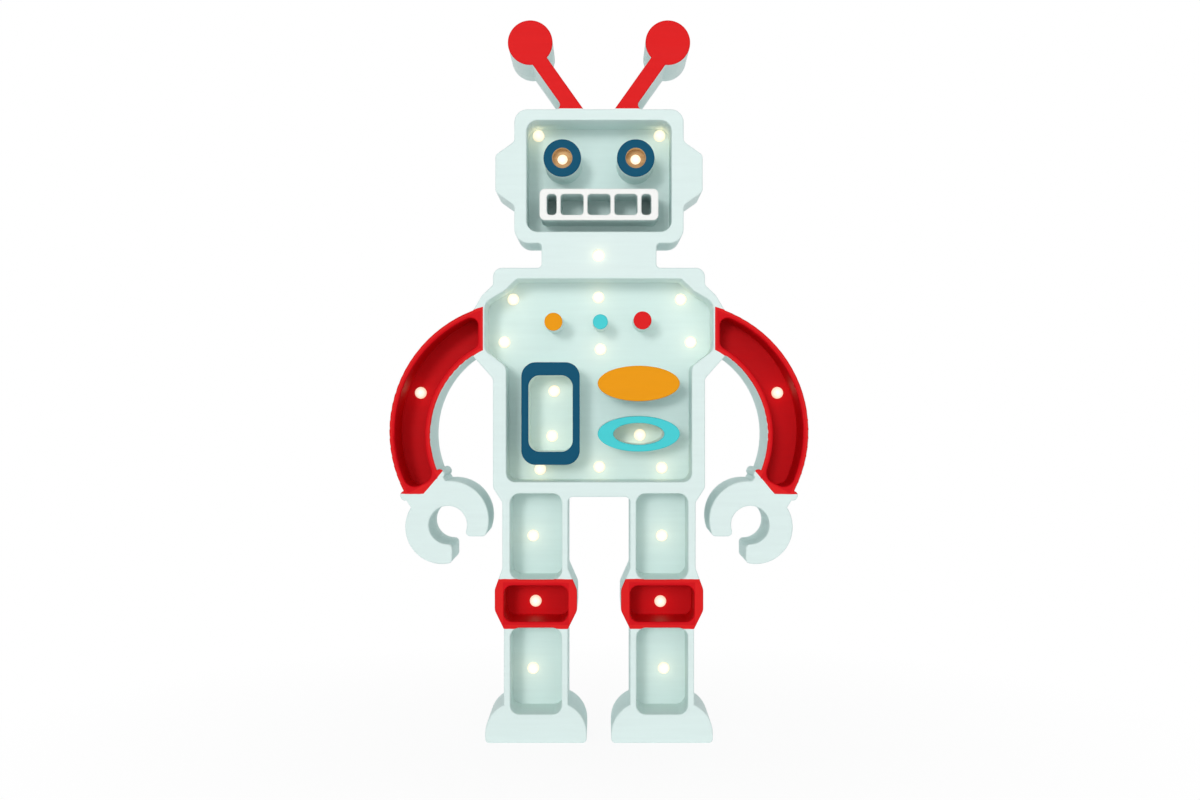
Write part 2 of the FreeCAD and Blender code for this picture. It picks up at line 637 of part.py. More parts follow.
def windows(y0, y1):
    """All windows of the front layer."""
    head_z = HEAD_BOTTOM + HEAD_WINDOW_BASE + HEAD_WINDOW[1] / 2
    shapes = [
        slab(rounded_box_figure(0, head_z, *HEAD_WINDOW, HEAD_WINDOW_R), y0, y1),
        slab(torso_figure(0.0), y0, y1),
    ]
    for base, width, height, radius in leg_windows():
        figure = rounded_box_figure(LEG_X, base + height / 2, width, height, radius)
        shapes += both_sides(slab(figure, y0, y1))
    shapes += both_sides(arm_window(y0, y1))
    return shapes


def arm_recess(y0, y1, grow, tab):
    """Curved channel to the light of the arm at +X, with a tab past its end for the cover."""
    half = ARM_RECESS_WIDTH / 2 + grow
    reach = math.degrees((grow + tab) / ARM_RECESS_R)
    start, end = ARM_RECESS_START, ARM_RECESS_END - reach
    ring = slab(disc(*ARM_MIDDLE, ARM_RECESS_R + half, 180), y0, y1)
    ring = ring.cut(slab(disc(*ARM_MIDDLE, ARM_RECESS_R - half, 180), y0, y1))
    far = 2 * ARM_RECESS_R
    wedge = [(*ARM_MIDDLE, 0), (*polar(ARM_MIDDLE, far, end), 0), (*polar(ARM_MIDDLE, far, start), 0)]
    return ring.common(slab(rounded_figure(wedge), y0, y1))


def recess(y0, y1, grow, tab=0.0):
    """Wiring recess between two depths, grown outwards by the width of a ledge."""
    head_z = HEAD_BOTTOM + HEAD_RECESS_BASE + HEAD_RECESS[1] / 2
    wide, tall = HEAD_RECESS[0] + 2 * grow, HEAD_RECESS[1] + 2 * grow
    neck = NECK_RECESS_WIDTH / 2 + grow
    leg = LEG_RECESS_WIDTH / 2 + grow
    service = SERVICE_WIDTH / 2 + grow
    well_top = SERVICE_BASE + SERVICE_HEIGHT + grow
    shapes = [
        slab(rounded_box_figure(0, head_z, wide, tall, HEAD_RECESS[2] + grow), y0, y1),
        box(-neck, neck, y0, y1, TORSO_TOP - 20.0, HEAD_BOTTOM + HEAD_RECESS_BASE + 10.0),
        slab(torso_figure(TORSO_RECESS_INSET - grow, TORSO_RECESS_DROP + TORSO_RECESS_INSET), y0, y1),
    ]
    shapes += both_sides(box(LEG_X - leg, LEG_X + leg, y0, y1, SERVICE_BASE + 3.0, LEG_LENGTH + 20.0))
    well = (LEG_X - service, LEG_X + service)
    shapes += both_sides(box(*well, y0, y1, SERVICE_BASE - grow, well_top))
    shapes += both_sides(arm_recess(y0, y1, grow, tab))
    return joined(shapes)


def keyhole_block(y0, y1, gap=0.0):
    """Solid timber that is left standing round the keyhole."""
    low = HEAD_BOTTOM + KEYHOLE_RISE - KEYHOLE_MARGIN - gap
    half = KEYHOLE_BLOCK / 2 + gap
    return box(-half, half, y0, y1, low, HEAD_TOP - 2.0)


def keyhole():
    """Round entry, narrow neck and the wider chamber that takes a screw's head."""
    x, z = 0.0, HEAD_BOTTOM + KEYHOLE_RISE
    deep = Y_BACK - KEYHOLE_DEPTH
    lip = Y_BACK - KEYHOLE_LIP
    neck_half = KEYHOLE_NECK / 2
    top = z + KEYHOLE_TRAVEL
    return [
        rod(x, z, KEYHOLE_R, deep, Y_BACK + 1),
        box(-neck_half, neck_half, deep, Y_BACK + 1, z, top),
        rod(x, top, neck_half, deep, Y_BACK + 1),
        box(-KEYHOLE_R, KEYHOLE_R, deep, lip, z, top),
        rod(x, top, KEYHOLE_R, deep, lip),
    ]


# Timber pieces
def cover_screw_places():
    """Places of all screws of the back cover."""
    angle = ARM_RECESS_END - math.degrees(ARM_SCREW_REACH / ARM_RECESS_R)
    x, z = polar(ARM_MIDDLE, ARM_RECESS_R, angle)
    return BOSS_SCREWS + [(-x, z), (x, z)]


def neck_seat():
    """Depth at which the neck light's flange seats, so that its tip is flush with the front."""
    return Y_FRONT + LENS_LENGTH


def front_frame():
    """Front layer: outline, windows and the bore of the neck light."""
    solid = rounded_layer(body_layer(Y_FRONT, Y_GLUE).cut(windows(Y_FRONT - 1, Y_GLUE + 1)), Y_FRONT)
    for x, z, _ in NECK_LIGHTS:
        solid = solid.cut(rod(x, z, LENS_R + LENS_CLEARANCE, Y_FRONT - 1, Y_GLUE))
        solid = solid.cut(rod(x, z, WIRE_BORE_R, neck_seat(), Y_GLUE + 1))
    return solid


def floor_lights():
    """Lights that stand on the floors of the windows."""
    return HEAD_LIGHTS + TORSO_LIGHTS + ARM_LIGHTS + LEG_LIGHTS


def back_board():
    """Back layer: outline, wiring recess, cover rebate, light holes and keyhole."""
    solid = rounded_layer(body_layer(Y_GLUE, Y_BACK), Y_BACK)
    cavity = recess(Y_FLOOR, Y_BACK + 1, 0.0)
    bosses = [rod(x, z, BOSS_R, Y_FLOOR - 1, Y_COVER_IN) for x, z in BOSS_SCREWS]
    cavity = cavity.cut(bosses + [keyhole_block(Y_FLOOR - 1, Y_BACK + 2)])
    rebate = recess(Y_COVER_IN, Y_BACK + 1, COVER_LEDGE, ARM_COVER_TAB)
    rebate = rebate.cut(keyhole_block(Y_COVER_IN - 1, Y_BACK + 2))
    sides = (LEG_X - SERVICE_WIDTH / 2, LEG_X + SERVICE_WIDTH / 2)
    wells = both_sides(box(*sides, Y_GLUE - 1, Y_BACK, SERVICE_BASE, SERVICE_BASE + SERVICE_HEIGHT))
    hole_r = LENS_R + LENS_CLEARANCE
    holes = [rod(x, z, hole_r, Y_GLUE - 1, Y_FLOOR + 1) for x, z, _ in floor_lights()]
    holes += [rod(x, z, WIRE_BORE_R, Y_GLUE - 1, Y_FLOOR + 1) for x, z, _ in EYE_LIGHTS + NECK_LIGHTS]
    pilots = [
        rod(x, z, SCREW_R + SCREW_CLEARANCE, Y_COVER_OUT - SCREW_LENGTH - 1, Y_COVER_IN + 1)
        for x, z in cover_screw_places()
    ]
    pilots += [rod(x, z, SCREW_R + SCREW_CLEARANCE, Y_GLUE + 1, Y_FLOOR + 1) for x, z in board_holes()]
    return solid.cut([cavity, rebate] + wells + holes + pilots + keyhole())


# Pieces that stand in the windows
def standing(figure):
    """A piece glued to the back layer and flush with the front, its front edges rounded."""
    solid = slab(figure, Y_FRONT, Y_GLUE)
    return solid.makeFillet(RIM_ROUND, level_edges(solid, Y_FRONT))


def eye_lens_seat():
    """Depth of the eye light's flange: its dome just reaches the floor of the cup."""
    lip_back = EYE_CUP_Y + EYE_LIP
    dome = math.sqrt(LENS_R**2 - EYE_HOLE_R**2)
    return lip_back + dome + 0.1 + LENS_LENGTH - LENS_R


def eye_ring(x):
    """Turned eye with a cup, a hole for the light and a bore for its wires."""
    solid = standing(disc(x, EYE_Z, EYE_R))
    bores = [
        rod(x, EYE_Z, EYE_CUP_R, Y_FRONT - 1, EYE_CUP_Y),
        rod(x, EYE_Z, EYE_HOLE_R, Y_FRONT, Y_GLUE + 1),
        rod(x, EYE_Z, LENS_R + LENS_CLEARANCE, EYE_CUP_Y + EYE_LIP, Y_GLUE + 1),
        rod(x, EYE_Z, WIRE_BORE_R, eye_lens_seat(), Y_GLUE + 1),
    ]
    return solid.cut(bores)


def mouth_grille():
    """Rounded bar with a row of slots."""
    z = HEAD_BOTTOM + MOUTH_RISE
    face = rounded_box_figure(0, z, *MOUTH)
    row = sum(MOUTH_SLOT_WIDTHS) + MOUTH_BAR * (len(MOUTH_SLOT_WIDTHS) - 1)
    x = -row / 2
    for width in MOUTH_SLOT_WIDTHS:
        slot = rounded_box_figure(x + width / 2, z, width, MOUTH_SLOT_HEIGHT, MOUTH_SLOT_R)
        face = face.cut(slot)
        x += width + MOUTH_BAR
    return standing(face.Faces[0])


def peg(place_and_lift, radius):
    """Round peg on the chest."""
    return standing(disc(place_and_lift[0], PEG_LEVEL + place_and_lift[1], radius))


def window_frame():
    """Tall rounded frame round two of the lights."""
    outer = rounded_box_figure(*FRAME_CENTRE, *FRAME_SIZE)
    return standing(outer.cut(rounded_box_figure(*FRAME_CENTRE, *FRAME_HOLE)).Faces[0])


def oval_plate():
    """Solid oval."""
    return standing(oval(OVAL_X, OVAL_PLATE_Z, *OVAL_SEMI))


def oval_ring():
    """Oval with an oval hole round one of the lights."""
    outer = oval(OVAL_X, OVAL_RING_Z, *OVAL_SEMI)
    return standing(outer.cut(oval(OVAL_X, OVAL_RING_Z, *OVAL_RING_HOLE_SEMI)).Faces[0])


# Lights and their wires
def light(x, z, turn, seat):
    """One diode: domed lens, flange and two leads that reach the flat cable."""
    bend = LENS_LENGTH - LENS_R
    lens = Part.makeSphere(LENS_R, place(x, z, seat - bend), FreeCAD.Vector(0, -1, 0), 0, 90, 360)
    lens = lens.fuse([rod(x, z, LENS_R, seat - bend, seat)]).removeSplitter()
    flange = rod(x, z, FLANGE_R, seat, seat + FLANGE_THICKNESS)
    pieces = [lens, flange]
    for sign in (-1, 1):
        middle = polar((x, z), sign * LEAD_PITCH / 2, turn)
        half = LEAD_SIZE / 2
        level = seat + FLANGE_THICKNESS
        end = min(level + LEAD_LENGTH, Y_FLEX)
        pieces.append(box(middle[0] - half, middle[0] + half, level, end, middle[1] - half, middle[1] + half))
    return joined(pieces)


def light_group(places, seat):
    """Several lights of one zone as separate solids."""
    return Part.makeCompound([light(x, z, turn, seat) for x, z, turn in places])


def flat_cable(points, width, y0):
    """Flat twin cable lying in the recess: straight runs joined by round bends."""
    vectors = [place(x, z, y0 + FLEX_THICKNESS / 2) for x, z in points]
    edges = []
    start = vectors[0]
    for before, corner, after in zip(vectors, vectors[1:], vectors[2:]):
        back, ahead = (before - corner), (after - corner)
        half = back.getAngle(ahead) / 2
        reach = min(FLEX_BEND_R / math.tan(half), 0.45 * back.Length, 0.45 * ahead.Length)
        radius = reach * math.tan(half)
        back.normalize()
        ahead.normalize()
        inward = (back + ahead).normalize()
        crown = corner + inward * (radius / math.sin(half) - radius)
        bend_start, bend_end = corner + back * reach, corner + ahead * reach
        edges.append(Part.LineSegment(start, bend_start).toShape())
        edges.append(Part.Arc(bend_start, crown, bend_end).toShape())
        start = bend_end
    edges.append(Part.LineSegment(start, vectors[-1]).toShape())
    path = Part.Wire(edges)
    along = (vectors[1] - vectors[0]).normalize()
    across = along.cross(FreeCAD.Vector(0, 1, 0)) * (width / 2)
    lift = FreeCAD.Vector(0, FLEX_THICKNESS / 2, 0)
    first = vectors[0]
    ring = [first + across + lift, first - across + lift, first - across - lift, first + across - lift]
    profile = Part.makePolygon(ring + [ring[0]])
    shell = Part.BRepOffsetAPI.MakePipeShell(path)
    shell.setBiNormalMode(FreeCAD.Vector(0, 1, 0))
    shell.add(profile)
    shell.build()
    shell.makeSolid()
    return shell.shape()


def arm_route(side):
    """Points of the flat cable through an arm, from the shoulder to past the light."""
    angles = (73.0, 64.0, 54.0, 43.0, 31.0, ARM_LIGHT_ANGLE + 0.5, 16.2)
    points = [polar(ARM_MIDDLE, ARM_RECESS_R, angle) for angle in angles]
    return [(side * x, z) for x, z in points]


def centre_cable():
    """Trunk cable from the head to the lowest light of the torso."""
    trunk = flat_cable([(TRUNK_X, HEAD_BOTTOM + 30.0), (TRUNK_X, LEG_LENGTH + 13.1)], FLEX_WIDTH, Y_FLEX)
    half = FLEX_WIDTH / 2
    z = BOARD_CENTRE[1]
    feed = box(TRUNK_X, feed_terminal_x(), Y_FLEX, Y_FLEX + FLEX_THICKNESS, z - half, z + half)
    return joined([trunk, feed])


def head_cables():
    """Branches to the eyes and the upper corners of the head."""
    eye = EYE_SPACING / 2
    left = [(TRUNK_LEFT, 26.0), (-15.0, 26.0), (-eye, 36.0), (-eye, 67.0), (-33.5, 77.2), (-46.0, 77.2)]
    right = [(TRUNK_RIGHT, 26.0), (15.0, 26.0), (eye, 36.0), (eye, 67.0), (33.5, 77.2), (46.0, 77.2)]
    routes = [raised(route, HEAD_BOTTOM) for route in (left, right)]
    return Part.makeCompound([flat_cable(route, FLEX_WIDTH, Y_FLEX) for route in routes])


def arm_cables():
    """Branches through the shoulders to the lights of the arms."""
    left = raised([(TRUNK_LEFT, 90.6), (-56.0, 90.6), (-65.0, 98.6), (-65.0, 107.6)], LEG_LENGTH)
    right = raised([(TRUNK_RIGHT, 90.6), (53.0, 90.6), (62.9, 98.6), (62.9, 107.6)], LEG_LENGTH)
    left = left + arm_route(-1)
    right = right + arm_route(1)
    return Part.makeCompound([flat_cable(route, FLEX_WIDTH, Y_FLEX) for route in (left, right)])


def shoulder_cables():
    """Branches to the upper corner lights of the torso."""
    left = [(TRUNK_LEFT, 118.6), (-44.0, 118.6), (-58.9, 126.6), (-58.9, 136.1)]
    right = [(TRUNK_RIGHT, 118.6), (42.0, 118.6), (56.1, 126.6), (56.1, 136.1)]
    routes = [raised(route, LEG_LENGTH) for route in (left, right)]
    return Part.makeCompound([flat_cable(route, FLEX_WIDTH, Y_FLEX) for route in routes])


def leg_cables():
    """Branches down the torso's sides and through the legs."""
    left = [
        (TRUNK_LEFT, 80.6),
        (-24.0, 80.6),
        (-30.8, 75.6),
        (-30.8, 64.6),
        (-32.2, 45.6),
        (-32.2, 32.6),
        (-40.4, 24.6),
        (-40.4, 8.6),
        (-45.2, -3.4),
        (-45.2, -35.4),
    ]
    left = raised(left, LEG_LENGTH) + [(-43.5, 98.0), (-43.5, 82.0), (-45.2, 54.0), (-45.2, 39.0)]
    right = [(TRUNK_RIGHT, 40.4), (34.0, 40.4), (43.1, 31.6), (43.1, -35.4)]
    right = raised(right, LEG_LENGTH) + [(42.1, 98.0), (42.1, 82.0), (44.4, 54.0), (44.4, 39.0)]
    return Part.makeCompound([flat_cable(route, FLEX_WIDTH, Y_FLEX) for route in (left, right)])


def light_tails():
    """Wire pairs through the bores behind the eyes and the neck light."""
    tails = []
    for places, seat in ((EYE_LIGHTS, eye_lens_seat()), (NECK_LIGHTS, neck_seat())):
        for x, z, _ in places:
            start = seat + FLANGE_THICKNESS + LEAD_LENGTH
            for sign in (-1, 1):
                middle = x + sign * LEAD_PITCH / 2
                half = TAIL_SIZE / 2
                tails.append(box(middle - half, middle + half, start, Y_FLEX, z - half, z + half))
    return Part.makeCompound(tails)


# Driver board
def board_holes():
    """Places of the four board screws."""
    x, z = BOARD_CENTRE
    dx, dz = BOARD_SIZE[0] / 2 - BOARD_HOLE_INSET, BOARD_SIZE[1] / 2 - BOARD_HOLE_INSET
    return [(x - dx, z - dz), (x + dx, z - dz), (x - dx, z + dz), (x + dx, z + dz)]


def driver_board():
    """Board that carries the resistors and terminals."""
    solid = slab(rounded_box_figure(*BOARD_CENTRE, *BOARD_SIZE, 1.0), Y_BOARD, Y_BOARD_TOP)
    return solid.cut([rod(x, z, SCREW_R + 0.1, Y_BOARD - 1, Y_BOARD_TOP + 1) for x, z in board_holes()])


def board_spacers():
    """Short tubes that hold the board off the recess floor."""
    rings = []
    for x, z in board_holes():
        ring = rod(x, z, SPACER_R, Y_FLOOR, Y_BOARD)
        rings.append(ring.cut(rod(x, z, SCREW_R + 0.1, Y_FLOOR - 1, Y_BOARD + 1)))
    return Part.makeCompound(rings)


def board_screws():
    """Round headed screws through the board and its spacers into the timber."""
    screws = []
    for x, z in board_holes():
        head = rod(x, z, BOARD_SCREW_HEAD_R, Y_BOARD_TOP, Y_BOARD_TOP + BOARD_SCREW_HEAD)
        screws.append(joined([head, rod(x, z, SCREW_R, Y_GLUE + 1.5, Y_BOARD_TOP)]))
    return Part.makeCompound(screws)


def board_resistors():
    """A row of series resistors, one for each branch of lights."""
    x0 = BOARD_CENTRE[0] - (RESISTOR_COUNT - 1) * RESISTOR_PITCH / 2
    z = BOARD_CENTRE[1]
    bodies = []
    for i in range(RESISTOR_COUNT):
        x = x0 + i * RESISTOR_PITCH
        base = FreeCAD.Vector(x, Y_BOARD_TOP + RESISTOR_R + 0.2, z - RESISTOR_LENGTH / 2)
        body = Part.makeCylinder(RESISTOR_R, RESISTOR_LENGTH, base)
        half = LEAD_SIZE / 2
        y = base.y
        reach = RESISTOR_LENGTH / 2 + 2.0
        wire = box(x - half, x + half, y - half, y + half, z - reach, z + reach)
        feet = [
            box(x - half, x + half, Y_BOARD_TOP, y + half, end - half, end + half)
            for end in (z - reach, z + reach)
        ]
        bodies.append(joined([body, wire] + feet))
    return Part.makeCompound(bodies)


def feed_terminal_x():
    """Left face of the terminal block that feeds the lights."""
    return BOARD_CENTRE[0] - BOARD_SIZE[0] / 2 + 0.5


def board_terminals():
    """Terminal blocks on the left edge and along the bottom edge of the board."""
    x, z = feed_terminal_x(), BOARD_CENTRE[1]
    wide, high = TERMINAL_SIZE
    base = BOARD_CENTRE[1] - BOARD_SIZE[1] / 2 + 0.5
    top = Y_BOARD_TOP + TERMINAL_HEIGHT
    blocks = [box(x, x + high, Y_BOARD_TOP, top, z - wide / 2, z + wide / 2)]
    for middle in SUPPLY_TERMINALS_X:
        blocks.append(box(middle - wide / 2, middle + wide / 2, Y_BOARD_TOP, top, base, base + high))
    for i, block in enumerate(blocks):
        centre = block.BoundBox.Center
        offset = FreeCAD.Vector(0, 0, 1) if i == 0 else FreeCAD.Vector(1, 0, 0)
        for sign in (-1, 1):
            spot = centre + offset * (sign * wide / 4)
            block = block.cut(rod(spot.x, spot.z, TERMINAL_SCREW_R, top - 1.0, top + 1))
        blocks[i] = block
    return Part.makeCompound(blocks)


def supply_cables():
    """Cables from the inlet and the switch up the legs to the board's underside."""
    y = Y_FLOOR + LEAD_FLEX_LIFT
    end = BOARD_CENTRE[1] - BOARD_SIZE[1] / 2 + 6.0
    side = LEG_X + LEG_RECESS_WIDTH / 2 - LEAD_FLEX_MARGIN
    cross = LEG_LENGTH + TORSO_WINDOW_BASE - TORSO_RECESS_DROP + 3.3
    left_x, right_x = SUPPLY_TERMINALS_X
    start = SERVICE_BASE + SERVICE_HEIGHT - 1.0
    left = [(-side, start), (-side, cross), (left_x, cross), (left_x, end)]
    bend = LEG_LENGTH + 28.6
    right = [(side, start), (side, bend), (right_x, bend + 10.0), (right_x, end)]
    return Part.makeCompound([flat_cable(route, LEAD_FLEX_WIDTH, y) for route in (left, right)])


# Back cover
def cover_screw_hole(x, z, clearance):
    """Shank and countersunk head of a cover screw, as a solid."""
    shank = rod(x, z, SCREW_R + clearance, Y_COVER_OUT - SCREW_LENGTH, Y_COVER_OUT - SCREW_HEAD_HEIGHT)
    base = place(x, z, Y_COVER_OUT - SCREW_HEAD_HEIGHT)
    small, large = SCREW_R + clearance, SCREW_HEAD_R + clearance
    cone = Part.makeCone(small, large, SCREW_HEAD_HEIGHT, base, FreeCAD.Vector(0, 1, 0))
    return joined([shank, cone])


def back_cover():
    """Thin cover over the whole recess, with holes for screws, inlet and switch."""
    grow = COVER_LEDGE - COVER_CLEARANCE
    solid = recess(Y_COVER_IN, Y_COVER_OUT, grow, ARM_COVER_TAB)
    solid = solid.cut(keyhole_block(Y_COVER_IN - 1, Y_COVER_OUT + 1, COVER_CLEARANCE))
    holes = [cover_screw_hole(x, z, SCREW_CLEARANCE) for x, z in cover_screw_places()]
    inlet_r = INLET_BARREL_R + ROUND_CLEARANCE
    holes.append(rod(LEG_X, SERVICE_Z, inlet_r, Y_COVER_IN - 1, Y_COVER_OUT + 1))
    wide = SWITCH_BODY[0] / 2 + SWITCH_FIT
    high = SWITCH_BODY[1] / 2 + SWITCH_FIT
    sides = (-LEG_X - wide, -LEG_X + wide)
    holes.append(box(*sides, Y_COVER_IN - 1, Y_COVER_OUT + 1, SERVICE_Z - high, SERVICE_Z + high))
    return solid.cut(holes)


def cover_screws():
    """Countersunk screws of the cover, each with a cross recess."""
    screws = []
    for x, z in cover_screw_places():
        screw = cover_screw_hole(x, z, 0.0)
        half = SCREW_CROSS / 2
        reach = SCREW_HEAD_R * 0.6
        depth = Y_COVER_OUT - SCREW_HEAD_HEIGHT * 0.6
        cross = [
            box(x - half, x + half, depth, Y_COVER_OUT + 1, z - reach, z + reach),
            box(x - reach, x + reach, depth, Y_COVER_OUT + 1, z - half, z + half),
        ]
        screws.append(screw.cut(cross))
    return Part.makeCompound(screws)


# Supply inlet
def inlet_body():
    """Flanged round socket with a centre bore."""
    y1 = Y_COVER_OUT + INLET_FLANGE
    flange = rod(LEG_X, SERVICE_Z, INLET_FLANGE_R, Y_COVER_OUT, y1)
    barrel = rod(LEG_X, SERVICE_Z, INLET_BARREL_R, inlet_back(), Y_COVER_OUT)
    bore = rod(LEG_X, SERVICE_Z, INLET_BORE_R, y1 - INLET_BORE_DEPTH, y1 + 1)
    hole = rod(LEG_X, SERVICE_Z, INLET_PIN_R + ROUND_CLEARANCE, inlet_back() - 1, y1)
    solid = joined([flange, barrel]).cut([bore, hole])
    rim = [e for e in level_edges(solid, y1) if e.BoundBox.XLength > 1.9 * INLET_BORE_R]
    return solid.makeChamfer(0.4, rim)


def inlet_back():
    """Depth of the inlet's rear end."""
    return Y_COVER_OUT - INLET_LENGTH


def inlet_pin():
    """Round centre pin with a domed tip."""
    tip = Y_COVER_OUT + INLET_FLANGE - 0.8
    solid = rod(LEG_X, SERVICE_Z, INLET_PIN_R, inlet_back() - INLET_PIN_TAIL, tip)
    return solid.makeFillet(0.4 * INLET_PIN_R, level_edges(solid, tip))


def inlet_nut():
    """Six sided nut that clamps the inlet to the cover from inside."""
    radius = INLET_NUT_WIDTH / 2 / math.cos(math.radians(30))
    corners = [polar((LEG_X, SERVICE_Z), radius, 60 * i) for i in range(6)]
    figure = rounded_figure([(x, z, 0.3) for x, z in corners])
    solid = slab(figure, Y_COVER_IN - INLET_NUT_THICKNESS, Y_COVER_IN)
    hole_r = INLET_BARREL_R + ROUND_CLEARANCE
    return solid.cut(rod(LEG_X, SERVICE_Z, hole_r, Y_COVER_IN - INLET_NUT_THICKNESS - 1, Y_COVER_IN + 1))


def inlet_contacts():
    """Two solder tabs behind the inlet."""
    back = inlet_back()
    tabs = []
    for offset in (-INLET_TAB_OFFSET, INLET_TAB_OFFSET):
        x = LEG_X + offset
        tabs.append(box(x - 0.2, x + 0.2, back - INLET_TAB_LENGTH, back, SERVICE_Z - 1.2, SERVICE_Z + 1.2))
    return Part.makeCompound(tabs)


# Rocker switch
def turned(shape, degrees, y):
    """Shape turned about an upright axis through the switch at depth y."""
    moved = shape.copy()
    moved.rotate(place(-LEG_X, SERVICE_Z, y), FreeCAD.Vector(0, 0, 1), degrees)
    return moved


def depth_tube(radius, bore, y0, y1):
    """Tube along the depth in the middle of the switch."""
    tube = rod(-LEG_X, SERVICE_Z, radius, y0, y1)
    return tube.cut(rod(-LEG_X, SERVICE_Z, bore, y0 - 1, y1 + 1))


def switch_back():
    """Depth of the switch body's rear face."""
    return Y_COVER_OUT - SWITCH_BODY[2]


def switch_housing():
    """Bezel and body of the switch, open to the rear of the lamp, with trunnion holes."""
    half_x, half_z = SWITCH_BODY[0] / 2, SWITCH_BODY[1] / 2
    bezel_figure = rounded_box_figure(-LEG_X, SERVICE_Z, BEZEL[0], BEZEL[1], 1.2)
    bezel = slab(bezel_figure, Y_COVER_OUT, Y_COVER_OUT + BEZEL[2])
    bezel = bezel.makeFillet(0.5, level_edges(bezel, Y_COVER_OUT + BEZEL[2]))
    sides = (-LEG_X - half_x, -LEG_X + half_x)
    body = box(*sides, switch_back(), Y_COVER_OUT, SERVICE_Z - half_z, SERVICE_Z + half_z)
    in_x, in_z = half_x - SWITCH_WALL, half_z - SWITCH_WALL
    room = box(
        -LEG_X - in_x,
        -LEG_X + in_x,
        switch_back() + SWITCH_WALL,
        Y_COVER_OUT + BEZEL[2] + 1,
        SERVICE_Z - in_z,
        SERVICE_Z + in_z,
    )
    base = FreeCAD.Vector(-LEG_X, Y_PIVOT, SERVICE_Z - half_z)
    pivot = Part.makeCylinder(TRUNNION_R + ROUND_CLEARANCE, 2 * half_z, base)
    slots = [box(*terminal_box(x, switch_back() - 1, 2 * SWITCH_WALL, 0.1)) for x in terminal_places()]
    return joined([bezel, body]).cut([room, pivot] + slots)


def terminal_places():
    """Sideways places of the contact under the bar's end and of the one under its middle."""
    return (-LEG_X - BAR_SIZE[0] / 2 + TERMINAL_INSET, -LEG_X)


def terminal_box(x, y, length, gap):
    """Corners of a terminal blade of the switch, with a gap round it."""
    half_x, half_z = BLADE_SIZE[0] / 2 + gap, BLADE_SIZE[1] / 2 + gap
    return (x - half_x, x + half_x, y, y + length, SERVICE_Z - half_z, SERVICE_Z + half_z)


def bar_pivot():
    """Depth about which the contact bar rocks: the middle of its underside."""
    return Y_PIVOT - PLUNGER_REACH - BAR_GAP - BAR_SIZE[2]


def switch_terminals():
    """Blades that pass through the rear wall, one under the bar's middle and one under its end."""
    end_x, middle_x = terminal_places()
    start = switch_back() - BLADE_TAIL
    drop = (BAR_SIZE[0] / 2 - TERMINAL_INSET + BLADE_SIZE[0] / 2) * math.tan(math.radians(BAR_TILT))
    tops = (bar_pivot() - CONTACT_GAP - drop, bar_pivot() - CONTACT_GAP)
    blades = []
    for x, top in zip((end_x, middle_x), tops):
        blades.append(box(*terminal_box(x, start, top - start, 0.0)))
    return Part.makeCompound(blades)


def contact_bar():
    """Rocking contact, tilted as the switched on rocker leaves it."""
    half_x, half_z = BAR_SIZE[0] / 2, BAR_SIZE[1] / 2
    y = bar_pivot()
    bar = box(-LEG_X - half_x, -LEG_X + half_x, y, y + BAR_SIZE[2], SERVICE_Z - half_z, SERVICE_Z + half_z)
    return turned(bar, BAR_TILT, y)


def rocker():
    """Rocker with two raised ends, trunnions and a tube for the plunger, in the on position."""
    half_z = SWITCH_BODY[1] / 2 - SWITCH_WALL - ROCKER_SIDE_GAP
    z0 = SERVICE_Z - half_z
    x = -LEG_X
    left = FreeCAD.Vector(x - ROCKER_HALF, Y_PIVOT + ROCKER_RIM, z0)
    dip = FreeCAD.Vector(x, Y_PIVOT + ROCKER_DIP, z0)
    right = FreeCAD.Vector(x + ROCKER_HALF, Y_PIVOT + ROCKER_RIM, z0)
    low_left = FreeCAD.Vector(x - ROCKER_HALF, Y_PIVOT - ROCKER_SKIRT, z0)
    low_right = FreeCAD.Vector(x + ROCKER_HALF, Y_PIVOT - ROCKER_SKIRT, z0)
    edges = [
        Part.Arc(left, dip, right).toShape(),
        Part.makeLine(right, low_right),
        Part.makeLine(low_right, low_left),
        Part.makeLine(low_left, left),
    ]
    key = Part.Face(Part.Wire(edges)).extrude(FreeCAD.Vector(0, 0, 2 * half_z))
    reach = SWITCH_BODY[1] / 2 - 0.15
    pin_base = FreeCAD.Vector(x, Y_PIVOT, SERVICE_Z - reach)
    pin = Part.makeCylinder(TRUNNION_R, 2 * reach, pin_base)
    sleeve = rod(x, SERVICE_Z, SLEEVE_R, Y_PIVOT - SLEEVE_REACH, Y_PIVOT - ROCKER_SKIRT)
    bore = rod(x, SERVICE_Z, PLUNGER_R + ROUND_CLEARANCE, Y_PIVOT - SLEEVE_REACH - 1, Y_PIVOT - ROCKER_SKIRT)
    return turned(joined([key, pin, sleeve]).cut(bore), -ROCKER_TILT, Y_PIVOT)


def switch_plunger():
    """Sliding plunger with a round tip, inside the rocker's tube."""
    tip = Y_PIVOT - PLUNGER_REACH
    solid = rod(-LEG_X, SERVICE_Z, PLUNGER_R, tip, Y_PIVOT - ROCKER_SKIRT - SPRING_LENGTH)
    solid = solid.makeFillet(0.8 * PLUNGER_R, level_edges(solid, tip))
    return turned(solid, -ROCKER_TILT, Y_PIVOT)


def switch_spring():
    """Space of the small coil spring behind the plunger, as a plain sleeve."""
    top = Y_PIVOT - ROCKER_SKIRT
    sleeve = depth_tube(PLUNGER_R, 0.55 * PLUNGER_R, top - SPRING_LENGTH, top)
    return turned(sleeve, -ROCKER_TILT, Y_PIVOT)


